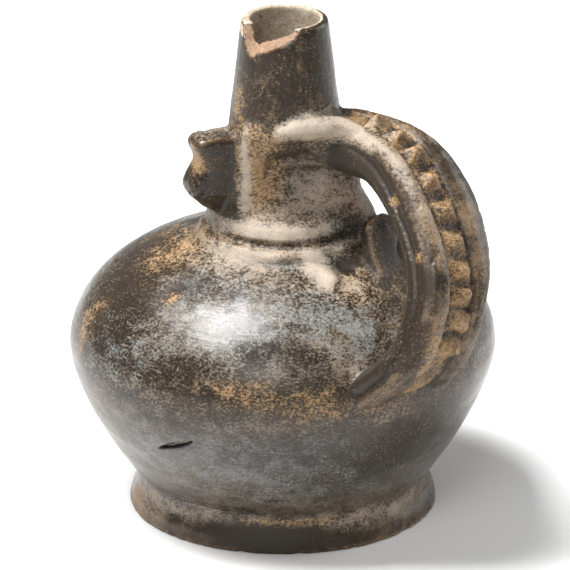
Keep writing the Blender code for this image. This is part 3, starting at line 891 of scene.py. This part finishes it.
# Finish that covers a whole region: mask, region, amount
region_finish = (
    ("ochre", "rubbed", 0.58),
    ("ochre", "neck", 0.10),
    # Painted shade: the gaps between the studs, the strap's underside and its lower lip are darkened
    ("smoke_and_shade", "gap", 1.3),
    ("smoke_and_shade", "under", 0.8),
    ("smoke_and_shade", "lip", 0.95),
    ("smoke_and_shade", "spout", 0.55),
    ("smoke_and_shade", "lug", 0.35),
    ("worn", "crest", 0.3),
    ("worn", "ribs", 0.15),
    ("worn", "neck", 0.10),
    ("soil_and_highlight", "crest", 0.14),
    ("soil_and_highlight", "neck", 0.10),
    ("soil_and_highlight", "waist", 0.25),
    # Partly painted highlight on the upward-facing shoulder, besides dust
    ("soil_and_highlight", "shoulder", 0.10),
    ("brown", "body", 0.6),
    ("brown", "upper", 0.6),
    ("brown", "anywhere", 0.35),
    ("slate", "lip", 0.5),
)
# Patches on the strap by mask: share along, distance aside and out, half length, half width, amount
strap_patches = {
    "ochre": (
        (0.42, -16.0, -4.0, 2.0, 2.2, 1.0),
        (0.545, -16.5, -3.0, 2.2, 1.8, 1.0),
        (0.6, -9.5, 3.0, 34.0, 1.6, 0.45),
        (0.76, -11.0, 3.0, 20.0, 3.5, 0.62),
    ),
    "slate": (
        (0.34, 14.0, 3.0, 16.0, 5.0, 0.6),
    ),
    "smoke_and_shade": (
        # Painted shade along the strap's lower lip and underside
        (0.62, -17.0, -7.0, 60.0, 4.5, 0.8),
        (0.36, 16.0, 3.0, 34.0, 7.0, 0.35),
        (0.86, -8.0, 0.0, 22.0, 14.0, 0.4),
        (0.97, 0.0, 0.0, 12.0, 24.0, 0.45),
    ),
    "soil_and_highlight": (
        # Pale soil and painted highlight on the near rib's top
        (0.2, -12.0, 3.0, 24.0, 5.0, 0.9),
        (0.37, -11.0, 2.5, 24.0, 3.5, 0.72),
        # Painted highlight: the glint in the groove between the lip and the rib
        (0.33, -16.5, -4.0, 5.0, 1.6, 0.8),
    ),
    "worn": (
        (0.58, -12.0, 3.0, 60.0, 5.0, 0.55),
        (0.62, 14.0, 3.0, 40.0, 5.0, 0.22),
        (0.56, -16.5, -2.5, 12.0, 1.2, 0.3),
    ),
}


def broken_rim(surface):
    """Points on the fresh break in the rim."""
    reach, bearing, height = surface.cylinder()
    broken = (reach > 12.0) & (reach < spout_outer_radius(height) - 0.3)
    broken &= between(height, break_heights) & between(bearing, break_bearings)
    return broken & (surface.normals()[:, 2] > 0.25)


def finish_masks(surface):
    """Masks that steer the finish, on the finished mesh."""
    mesh = surface.mesh
    region, share, side, rise = surface_regions(surface)
    reach, bearing, height = surface.cylinder()
    upward = np.clip(surface.normals()[:, 2], 0.0, 1.0)
    names = ("smoke_and_shade", "worn", "slate", "brown", "ochre", "soil_and_highlight", "matt")
    masks = {name: np.zeros(len(reach)) for name in names}
    for (name, part), patches in finish_patches.items():
        for at, level, wide, tall, amount in patches:
            patch = fade(np.radians(bearing - at) * reach, 0.0, wide) * fade(height, level, tall)
            masks[name] = np.maximum(masks[name], amount * patch * region[part])
    for name, patches in strap_patches.items():
        for at, aside, out, long, wide, amount in patches:
            patch = fade(strap_length * (share - at), 0.0, long)
            patch *= fade(np.hypot(side - aside, rise - out), 0.0, wide)
            masks[name] = np.maximum(masks[name], amount * patch * region["strap"])

    channel = region["channel"] & (side < channel_half_width)
    hollow = surface.blur(surface.hollowness(8), 1)
    # Painted shade: the hollows between the studs, darkened through the smoke mask
    gap = channel * smooth_step(hollow, 0.05, 0.45)
    covers = dict(
        region,
        gap=gap,
        rubbed=channel * (1.0 - gap),
        crest=channel * smooth_step(-hollow, 0.05, 0.40),
        waist=fade(height, waist_height - 1.0, 2.4) * (reach > 40.0),
        # Partly painted highlight: the upward-facing belly gets pale cover besides dust
        shoulder=smooth_step(upward, 0.55, 0.95) * region["belly"],
    )
    masks["soil_and_highlight"] *= 1.0 - 0.6 * channel
    for name, part, amount in region_finish:
        masks[name] += amount * covers[part]
    for name, values in masks.items():
        mask_attribute(mesh, name, surface.blur(values, 3))

    lower_front = fade(np.radians(bearing + 70.0) * reach, 0.0, 70.0) * (height < 58.0)
    speckled = 0.55 + 0.45 * smooth_step(height, 50.0, 66.0) - 0.35 * lower_front
    speckled = np.where(region["strap"], 0.85, speckled)
    streaked = region["upper"] | region["foot"] | region["strap"]
    dirty = 0.10 + 0.45 * (region["neck"] | region["brow"] | region["foot"])
    dull = 0.5 * (region["neck"] | region["collar"] | region["brow"]) + 0.7 * region["fold"]
    dull = np.maximum(dull, 0.22 * region["strap"] + 0.35 * channel + 0.7 * region["under"])
    dull = np.maximum(dull, masks["matt"])
    mask_attribute(mesh, "speckled", surface.blur(speckled, 5))
    mask_attribute(mesh, "streaked", surface.blur(streaked.astype(float), 4))
    mask_attribute(mesh, "dirty", surface.blur(dirty, 4))
    mask_attribute(mesh, "rough_clay", surface.blur(dull, 4))
    mask_attribute(mesh, "paste", surface.blur(broken_rim(surface).astype(float), 1))
    store_strokes(surface, region, share, side, rise)


def store_strokes(surface, region, share, side, rise):
    """Store a place that is squeezed along the strokes, so that a noise on it streaks."""
    squeeze = 0.06
    apart = 40.0
    around = surface.points * np.array((squeeze, squeeze, 1.0))
    upright = surface.points * np.array((1.0, 1.0, squeeze))
    standing = (region["upper"] | region["neck"])[:, None]
    places = np.where(standing, upright, around)
    swept = np.stack([squeeze * strap_length * share + apart, side, rise], axis=1)
    places = np.where(region["strap"][:, None], swept, places) * MM
    attribute = surface.mesh.attributes.new("stroke_place", "FLOAT_VECTOR", "POINT")
    attribute.data.foreach_set("vector", places.astype(np.float32).ravel())


def inside_material(settings, groups):
    """Unburnished clay of the hollow inside."""
    material = bpy.data.materials.new("unburnished_inside")
    material.use_nodes = True
    tree = material.node_tree
    shader = tree.nodes["Principled BSDF"]
    mottle = use_group(tree, groups["mottle"], {"Size": settings.mottle_size})
    grain = use_group(tree, groups["grain"], {"Coarse": 0.8})
    shade = mix_value(tree, 0.5, mottle["Middle"], mottle["Fine"])
    colour = mix_colour(tree, shade, tuple(settings.brown), tuple(settings.inside))
    colour = mix_colour(tree, product(tree, grain["Pits"], 0.6), colour, tuple(settings.black))
    tree.links.new(colour, shader.inputs["Base Color"])
    shader.inputs["Roughness"].default_value = 0.85
    inputs = {"Strength": 0.6, "Distance": 0.0004, "Height": grain["Height"]}
    bump = put(tree, "ShaderNodeBump", None, inputs)
    tree.links.new(bump.outputs[0], shader.inputs["Normal"])
    return material


# Studs


def stud_tree():
    """Four-sided studs on the points of the strap's channel."""
    tree, given, result = geometry_group("Strap studs", {"Height": 0.005, "Unevenness": 0.1, "Seed": 3})
    inputs = {"Vertices": stud_sides, "Radius Top": stud_blunt, "Radius Bottom": math.sqrt(2.0), "Depth": 1.0}
    cone = put(tree, "GeometryNodeMeshCone", {"fill_type": "NGON"}, inputs).outputs["Mesh"]
    inputs = {"Geometry": cone, "Rotation": (0.0, 0.0, math.pi / stud_sides)}
    stud = put(tree, "GeometryNodeTransform", None, inputs).outputs[0]

    # Each stud stands square on the strap, with a small tilt of its own
    vector = "FLOAT_VECTOR"
    inputs = {"Primary Axis": stored(tree, "out", vector), "Secondary Axis": stored(tree, "along", vector)}
    settings = {"primary_axis": "Z", "secondary_axis": "Y"}
    facing = put(tree, "FunctionNodeAxesToRotation", settings, inputs).outputs[0]
    least = tuple(-part for part in stud_tilt)
    inputs = {"Min": least, "Max": stud_tilt, "Seed": given["Seed"]}
    wobble = put(tree, "FunctionNodeRandomValue", {"data_type": vector}, inputs).outputs[0]
    tilt = put(tree, "FunctionNodeEulerToRotation", None, {"Euler": wobble}).outputs[0]
    inputs = {"Rotation": facing, "Rotate By": tilt}
    facing = put(tree, "FunctionNodeRotateRotation", {"rotation_space": "LOCAL"}, inputs).outputs[0]

    # Each is a little wider and taller, or narrower and lower, than the next
    low = calc(tree, "SUBTRACT", 1.0, given["Unevenness"])
    high = calc(tree, "ADD", 1.0, given["Unevenness"])
    inputs = {2: low, 3: high, "Seed": given["Seed"]}
    swell = put(tree, "FunctionNodeRandomValue", {"data_type": "FLOAT"}, inputs).outputs[1]
    foot = put(tree, "ShaderNodeSeparateXYZ", None, {0: stored(tree, "size", vector)}).outputs
    wide = calc(tree, "MULTIPLY", foot[0], swell)
    tall = calc(tree, "MULTIPLY", given["Height"], swell)
    size = put(tree, "ShaderNodeCombineXYZ", None, {0: wide, 1: foot[1], 2: tall}).outputs[0]
    inputs = {"Points": given["Geometry"], "Instance": stud, "Rotation": facing, "Scale": size}
    row = put(tree, "GeometryNodeInstanceOnPoints", None, inputs).outputs[0]
    end_tree(tree, row, given, result)
    return tree


def set_inputs(modifier, values):
    """Set a geometry modifier's inputs by their names in the tree."""
    for item in modifier.node_group.interface.items_tree:
        if item.item_type == "SOCKET" and item.in_out == "INPUT" and item.name in values:
            modifier[item.identifier] = values[item.name]


def real_mesh(thing):
    """Plain mesh of an object with its modifiers applied."""
    bpy.context.view_layer.update()
    evaluated = thing.evaluated_get(bpy.context.evaluated_depsgraph_get())
    return bpy.data.meshes.new_from_object(evaluated)


def discard(thing):
    """Remove an object and its mesh."""
    mesh = thing.data
    bpy.data.objects.remove(thing)
    bpy.data.meshes.remove(mesh)


def placed(name, mesh):
    """New object in the scene."""
    thing = bpy.data.objects.new(name, mesh)
    bpy.context.scene.collection.objects.link(thing)
    return thing


def make_studs(settings, material):
    """Mesh of the row of studs that stands in the strap's channel."""
    pitch = (stud_span[1] - stud_span[0]) / (settings.count - 1)
    shares = stud_span[0] + pitch * np.arange(settings.count)
    points, along, out, _, width = strap_frames(shares)
    ends, _, _, _, _ = strap_frames(shares + 0.5 * pitch)
    starts, _, _, _, _ = strap_frames(shares - 0.5 * pitch)
    length = np.linalg.norm(ends - starts, axis=1)
    half_width = channel_half_width * width * settings.fill_across
    size = np.stack([half_width, 0.5 * length * settings.fill_along, 0.0 * length], axis=1)
    mesh = bpy.data.meshes.new("stud_points")
    points = (points - out * settings.sink / MM) * MM + np.array((axis_x, 0.0, 0.0))
    mesh.from_pydata(points.tolist(), [], [])
    for name, values in (("out", out), ("along", along), ("size", size * MM)):
        attribute = mesh.attributes.new(name, "FLOAT_VECTOR", "POINT")
        attribute.data.foreach_set("vector", values.astype(np.float32).ravel())
    thing = placed("stud_points", mesh)
    modifier = thing.modifiers.new("studs", "NODES")
    modifier.node_group = stud_tree()
    values = {"Height": settings.height, "Unevenness": settings.unevenness, "Seed": settings.seed}
    set_inputs(modifier, dict(values, Material=material))
    studs = real_mesh(thing)
    discard(thing)
    return studs


# Relief


def relief_tree():
    """Swell, tool marks and chips that move the surface in or out."""
    depths = {"Swell": 0.0004, "Hand marks": 0.0002, "Roughness": 0.0001, "Chips": 0.0008}
    tree, given, result = geometry_group("Worn relief", depths)
    place = put(tree, "GeometryNodeInputPosition").outputs[0]
    normal = put(tree, "GeometryNodeInputNormal").outputs[0]

    def ripple(scale, detail, depth):
        value = calc(tree, "SUBTRACT", noise(tree, place, scale, detail), 0.5)
        return product(tree, value, depth, 2.0)

    moves = [
        ripple(26.0, 1.0, given["Swell"]),
        ripple(95.0, 2.0, given["Hand marks"]),
        product(tree, ripple(380.0, 3.0, given["Roughness"]), stored(tree, "rough")),
    ]
    chip = remap(tree, noise(tree, place, 210.0, 2.0), 0.56, 0.70)
    height = product(tree, chip, stored(tree, "chip"), given["Chips"], -1.0)
    for move in moves:
        height = calc(tree, "ADD", height, move)
    height = product(tree, height, stored(tree, "outside"))
    inputs = {0: normal, "Scale": height}
    shift = put(tree, "ShaderNodeVectorMath", {"operation": "SCALE"}, inputs).outputs[0]
    inputs = {"Geometry": given["Geometry"], "Offset": shift}
    moved = put(tree, "GeometryNodeSetPosition", None, inputs).outputs[0]
    end_tree(tree, moved, given, result)
    return tree


def cad_copy():
    """Merged copy of the solid's mesh."""
    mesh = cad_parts["vessel"].data.copy()
    bm = bmesh.new()
    bm.from_mesh(mesh)
    bmesh.ops.remove_doubles(bm, verts=bm.verts, dist=0.00001)
    bm.to_mesh(mesh)
    bm.free()
    return mesh


def join_meshes(first, second):
    """One mesh from two."""
    bm = bmesh.new()
    bm.from_mesh(first)
    bm.from_mesh(second)
    mesh = bpy.data.meshes.new("joined")
    bm.to_mesh(mesh)
    bm.free()
    return mesh


def fine_mesh(mesh, cell):
    """Even mesh over the union of the shells in a mesh."""
    thing = placed("fine", mesh)
    modifier = thing.modifiers.new("cells", "REMESH")
    modifier.mode = "VOXEL"
    modifier.voxel_size = cell
    modifier.use_smooth_shade = True
    result = real_mesh(thing)
    discard(thing)
    return result


def true_belly(surface):
    """Take the facets out of the bare belly."""
    reach, _, height = surface.cylinder()
    target = belly_reach(height)
    bare = np.abs(reach - target) < 0.75
    bare &= between(height, (waist_height + 3.0, shoulder_height - 3.0))
    weights = surface.blur(bare.astype(float), 6) * bare
    surface.points[:, :2] *= (1.0 + weights * (target - reach) / np.maximum(reach, 1.0))[:, None]


def soften_joins(surface, passes):
    """Fill the creases between parts, as wetted clay does."""
    crisp = surface.blur(1.0 - surface_regions(surface)[0]["channel"], 4)
    for _ in range(2):
        hollow = surface.blur(np.maximum(surface.hollowness(6), 0.0), 2)
        surface.soften(passes, crisp * smooth_step(hollow, 0.03, 0.22), shrink=True)


def fill_fold(surface, passes):
    """Round the clay between the fold and the strap, so that no scoop is left there."""
    for _ in range(3):
        reach, bearing, height = surface.cylinder()
        share, side, rise = surface.along_strap()
        wide = fade(bearing, 22.0, 17.0) * fade(reach, 50.0, 9.0) * fade(height, 105.0, 10.0)
        free = (rise < -13.0) | (share < 0.1)
        surface.soften(passes, smooth_step(wide, 0.25, 0.7) * free, shrink=True)


def make_vessel(form, studs, finish):
    """The bottle's finished mesh as one object."""
    groups = {"mottle": mottle_group(), "strokes": stroke_group()}
    groups.update(scratches=scratch_group(), grain=grain_group())
    clay = clay_material(finish, groups)
    inside = inside_material(finish, groups)
    joined = join_meshes(cad_copy(), make_studs(studs, clay))
    mesh = fine_mesh(joined, form.cell)
    surface = Surface(mesh)
    true_belly(surface)
    reach, _, height = surface.cylinder()
    surface.soften(3, 1.0 - 0.8 * surface_regions(surface)[0]["channel"])
    surface.soften(form.inside_passes, is_inside(reach, height).astype(float))
    soften_joins(surface, form.join_passes)
    fill_fold(surface, form.fold_passes)
    press_marks(surface)
    cut_slit(surface)
    relief_masks(surface)
    surface.store()

    thing = placed("worn_vessel", mesh)
    relief = thing.modifiers.new("relief", "NODES")
    relief.node_group = relief_tree()
    values = {"Swell": form.swell, "Hand marks": form.hand_marks, "Roughness": form.roughness}
    set_inputs(relief, dict(values, Chips=form.chips, Material=clay))
    mesh.calc_loop_triangles()
    thin = thing.modifiers.new("thin", "DECIMATE")
    thin.use_collapse_triangulate = True
    thin.ratio = min(1.0, form.face_limit / len(mesh.loop_triangles))
    made = real_mesh(thing)
    discard(thing)
    made.name = "worn_vessel"
    made.materials.clear()
    made.materials.append(clay)
    made.materials.append(inside)
    finished = Surface(made)
    finished.points[:, 2] = np.maximum(finished.points[:, 2], 0.0)
    finish_masks(finished)
    reach, _, height = finished.cylinder()
    corners = np.empty(len(made.loops), int)
    made.loops.foreach_get("vertex_index", corners)
    rim_top = (height > rim_foot) & (reach < spout_outer_radius(height) - rim_edge)
    unseen = (is_inside(reach, height) | rim_top) & ~broken_rim(finished)
    hidden = unseen[corners.reshape(-1, 3)].all(axis=1)
    made.polygons.foreach_set("material_index", hidden.astype(np.int32))
    made.polygons.foreach_set("use_smooth", np.ones(len(made.polygons), bool))
    made.update()
    return placed("worn_vessel", made)


# Settings


def colour_setting(name, description, default):
    """A colour that a user can change."""
    return bpy.props.FloatVectorProperty(
        name=name, description=description, subtype="COLOR", size=4, min=0.0, max=1.0, default=default
    )


def length_setting(name, description, default):
    """A length in metres."""
    return bpy.props.FloatProperty(
        name=name, description=description, unit="LENGTH", min=0.0, precision=5, default=default
    )


def number_setting(name, description, default, **limits):
    """A plain number."""
    return bpy.props.FloatProperty(name=name, description=description, default=default, **limits)


def count_setting(name, description, default, least=0):
    """A whole number."""
    return bpy.props.IntProperty(name=name, description=description, default=default, min=least)


class BottleForm(bpy.types.PropertyGroup):
    """Fineness and relief of the vessel."""

    cell: length_setting("Cell", "Size of the even cells of the fine mesh", 0.0008)
    face_limit: count_setting("Face limit", "Most triangles in the finished mesh", 194000)
    join_passes: count_setting("Join softness", "Smoothing passes in creases", 8)
    fold_passes: count_setting("Fold softness", "Smoothing passes beside the fold", 30)
    inside_passes: count_setting("Inside softness", "Smoothing passes on the inner walls", 25)
    swell: length_setting("Swell", "Broad unevenness of the hand-built wall", 0.00045)
    hand_marks: length_setting("Hand marks", "Dents the size of a fingertip", 0.00022)
    roughness: length_setting("Roughness", "Small lumps on unburnished places", 0.00020)
    chips: length_setting("Chips", "Depth of chips on edges", 0.0007)


class BottleStuds(bpy.types.PropertyGroup):
    """Row of studs in the strap's channel."""

    count: count_setting("Count", "Number of studs", 10, least=2)
    height: length_setting("Height", "Height of a stud above its foot", 0.0068)
    sink: length_setting("Sink", "Depth of a stud's foot below the channel", 0.0014)
    fill_across: number_setting("Width share", "Share of the channel that a stud fills", 1.34)
    fill_along: number_setting("Length share", "Share of the pitch that a stud fills", 0.98)
    unevenness: number_setting("Unevenness", "Difference in size between studs", 0.14)
    seed: count_setting("Seed", "Chooses the differences", 4)


class BottleFinish(bpy.types.PropertyGroup):
    """Colours and gloss of the fired clay."""

    black: colour_setting("Black", "Smoke-blackened slip", (0.012, 0.010, 0.008, 1.0))
    umber: colour_setting("Umber", "Darkest brown", (0.026, 0.018, 0.011, 1.0))
    drab: colour_setting("Drab", "Grey-brown where the smoke is worn", (0.175, 0.152, 0.122, 1.0))
    brown: colour_setting("Brown", "Brown where the smoke is worn", (0.205, 0.140, 0.083, 1.0))
    slate: colour_setting("Slate", "Cool grey firing clouds", (0.190, 0.190, 0.180, 1.0))
    ochre: colour_setting("Ochre", "Yellow-brown clay on high places", (0.400, 0.235, 0.095, 1.0))
    # Also the colour of the painted highlight on tops that face the overhead light
    soil_and_highlight: colour_setting("Soil", "Pale earth in hollows", (0.520, 0.450, 0.370, 1.0))
    paste: colour_setting("Paste", "Clay in the fresh break", (0.200, 0.115, 0.066, 1.0))
    paste_pale: colour_setting("Pale paste", "Lighter clay in the break", (0.300, 0.200, 0.130, 1.0))
    inside: colour_setting("Inside", "Unburnished clay of the hollow", (0.480, 0.430, 0.340, 1.0))
    mottle_size: number_setting("Mottle", "Clouds of firing in a metre", 34.0)
    stroke_density: number_setting("Strokes", "Burnish strokes in a metre", 420.0)
    scratches: number_setting("Marks", "Strength of scratches and specks", 1.0, min=0.0, max=1.0)
    scratch_strength: number_setting("Scratch colour", "How pale the scratches are", 0.17)
    speck_strength: number_setting("Speck colour", "How pale the specks are", 0.42)
    gloss_low: number_setting("Gloss", "Roughness of the best burnished places", 0.20)
    gloss_high: number_setting("Dullness", "Roughness between the strokes", 0.33)


class BottleStage(bpy.types.PropertyGroup):
    """Floor, light and camera."""

    bearing: number_setting(
        "Camera bearing", "Turn of the camera round the bottle", math.radians(-46.0), subtype="ANGLE"
    )
    elevation: number_setting(
        "Camera elevation", "Angle of the camera above the floor", math.radians(21.0), subtype="ANGLE"
    )
    distance: length_setting("Camera distance", "From the aim point to the camera", 3.0)
    aim_height: length_setting("Aim height", "Height of the point aimed at", 0.0829)
    aim_side: length_setting("Aim side", "Shift of the point aimed at to the right", 0.0008)
    lens: number_setting("Lens", "Focal length in millimetres", 520.9)
    floor_half: length_setting("Floor", "Half the side of the floor", 4.0)
    floor_colour: colour_setting("Floor colour", "Pale floor", (0.88, 0.88, 0.88, 1.0))
    room: number_setting("Room", "Strength of the even light", 0.24)
    key_power: number_setting("Key", "Power of the overhead light in watts", 27.0)
    left_power: number_setting("Left", "Power of the light behind on the left in watts", 0.15)
    right_power: number_setting("Right", "Power of the light behind on the right in watts", 5.0)
    front_power: number_setting("Front", "Power of the weak light near the camera in watts", 11.0)


def floor_material(colour):
    """Matt white studio floor with a faint unevenness."""
    material = bpy.data.materials.new("studio_floor")
    material.use_nodes = True
    tree = material.node_tree
    shader = tree.nodes["Principled BSDF"]
    cloud = noise(tree, object_place(tree), 3.0, 2.0)
    shade = mix_colour(tree, cloud, colour, tuple(0.99 * part for part in colour[:3]) + (1.0,))
    tree.links.new(shade, shader.inputs["Base Color"])
    shader.inputs["Roughness"].default_value = 0.9
    return material


def make_floor(settings):
    """Square floor just under the foot."""
    half = settings.floor_half
    corners = [(-half, -half, 0.0), (half, -half, 0.0), (half, half, 0.0), (-half, half, 0.0)]
    mesh = bpy.data.meshes.new("floor")
    mesh.from_pydata(corners, [], [(0, 1, 2, 3)])
    mesh.materials.append(floor_material(tuple(settings.floor_colour)))
    floor = placed("floor", mesh)
    floor.location.z = -floor_gap


def stage_ways(settings):
    """Ways from the bottle to the camera and to its right, on the floor."""
    way = Vector((math.cos(settings.bearing), math.sin(settings.bearing), 0.0))
    return way, Vector((-way.y, way.x, 0.0))


def make_camera(settings):
    """Long-lens camera that looks down on the bottle."""
    way, right = stage_ways(settings)
    aim = Vector((axis_x, 0.0, settings.aim_height)) + right * settings.aim_side
    lift = way * math.cos(settings.elevation) + Vector((0.0, 0.0, math.sin(settings.elevation)))
    data = bpy.data.cameras.new("camera")
    data.lens = settings.lens
    data.sensor_width = 36.0
    data.clip_end = 20.0
    camera = bpy.data.objects.new("camera", data)
    bpy.context.scene.collection.objects.link(camera)
    camera.location = aim + lift * settings.distance
    camera.rotation_euler = (-lift).to_track_quat("-Z", "Y").to_euler()
    bpy.context.scene.camera = camera


def make_lamp(name, settings, side, depth, height, size, power):
    """Square soft light that faces the bottle; side and depth are as the camera sees them."""
    way, right = stage_ways(settings)
    data = bpy.data.lights.new(name, "AREA")
    data.shape = "SQUARE"
    data.size = size
    data.energy = power
    lamp = bpy.data.objects.new(name, data)
    bpy.context.scene.collection.objects.link(lamp)
    lamp.location = right * side + way * depth + Vector((0.0, 0.0, height))
    target = Vector((axis_x, 0.0, 0.08))
    lamp.rotation_euler = (target - lamp.location).to_track_quat("-Z", "Y").to_euler()


def make_light(settings):
    """Dim room with a white backdrop, a broad light overhead and weaker ones around."""
    world = bpy.data.worlds.new("studio")
    world.use_nodes = True
    tree = world.node_tree
    background = tree.nodes["Background"]
    background.inputs["Color"].default_value = (1.0, 1.0, 1.0, 1.0)
    seen = put(tree, "ShaderNodeLightPath").outputs["Is Camera Ray"]
    tree.links.new(mix_value(tree, seen, settings.room, 1.0), background.inputs["Strength"])
    scene = bpy.context.scene
    scene.world = world
    scene.view_settings.view_transform = "Standard"
    make_lamp("key", settings, -0.40, 0.04, 1.10, 0.50, settings.key_power)
    make_lamp("left", settings, -1.0, -0.35, 0.45, 0.7, settings.left_power)
    make_lamp("right", settings, 1.0, -0.45, 0.45, 0.7, settings.right_power)
    make_lamp("front", settings, -0.3, 1.4, 1.2, 0.8, settings.front_power)


class BOTTLE_OT_add_vessel(bpy.types.Operator):
    """Make the worn bottle around its solid"""

    bl_idname = "bottle.add_vessel"
    bl_label = "Add vessel"

    def execute(self, context):
        scene = context.scene
        vessel = make_vessel(scene.bottle_form, scene.bottle_studs, scene.bottle_finish)
        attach(vessel, "root")
        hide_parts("vessel")
        return {"FINISHED"}


class BOTTLE_OT_add_stage(bpy.types.Operator):
    """Make the floor, the lights and the camera"""

    bl_idname = "bottle.add_stage"
    bl_label = "Add stage"

    def execute(self, context):
        settings = context.scene.bottle_stage
        make_floor(settings)
        make_camera(settings)
        make_light(settings)
        return {"FINISHED"}


class BOTTLE_PT_sidebar(bpy.types.Panel):
    """Sizes, colours and steps of the bottle"""

    bl_label = "Bottle"
    bl_idname = "BOTTLE_PT_sidebar"
    bl_space_type = "VIEW_3D"
    bl_region_type = "UI"
    bl_category = "Bottle"

    def draw(self, context):
        for name in setting_groups:
            group = getattr(context.scene, name)
            box = self.layout.box()
            for key in group.bl_rna.properties.keys():
                if key not in ("rna_type", "name"):
                    box.prop(group, key)
        self.layout.operator("bottle.add_vessel")
        self.layout.operator("bottle.add_stage")


setting_groups = {
    "bottle_form": BottleForm,
    "bottle_studs": BottleStuds,
    "bottle_finish": BottleFinish,
    "bottle_stage": BottleStage,
}
operators = (BOTTLE_OT_add_vessel, BOTTLE_OT_add_stage)
classes = tuple(setting_groups.values()) + operators + (BOTTLE_PT_sidebar,)


def register():
    for item in classes:
        bpy.utils.register_class(item)
    for name, group in setting_groups.items():
        setattr(bpy.types.Scene, name, bpy.props.PointerProperty(type=group))


def unregister():
    for name in setting_groups:
        delattr(bpy.types.Scene, name)
    for item in reversed(classes):
        bpy.utils.unregister_class(item)


def main():
    """Make everything."""
    register()
    bpy.ops.bottle.add_vessel()
    bpy.ops.bottle.add_stage()


if __name__ == "__main__":
    main()
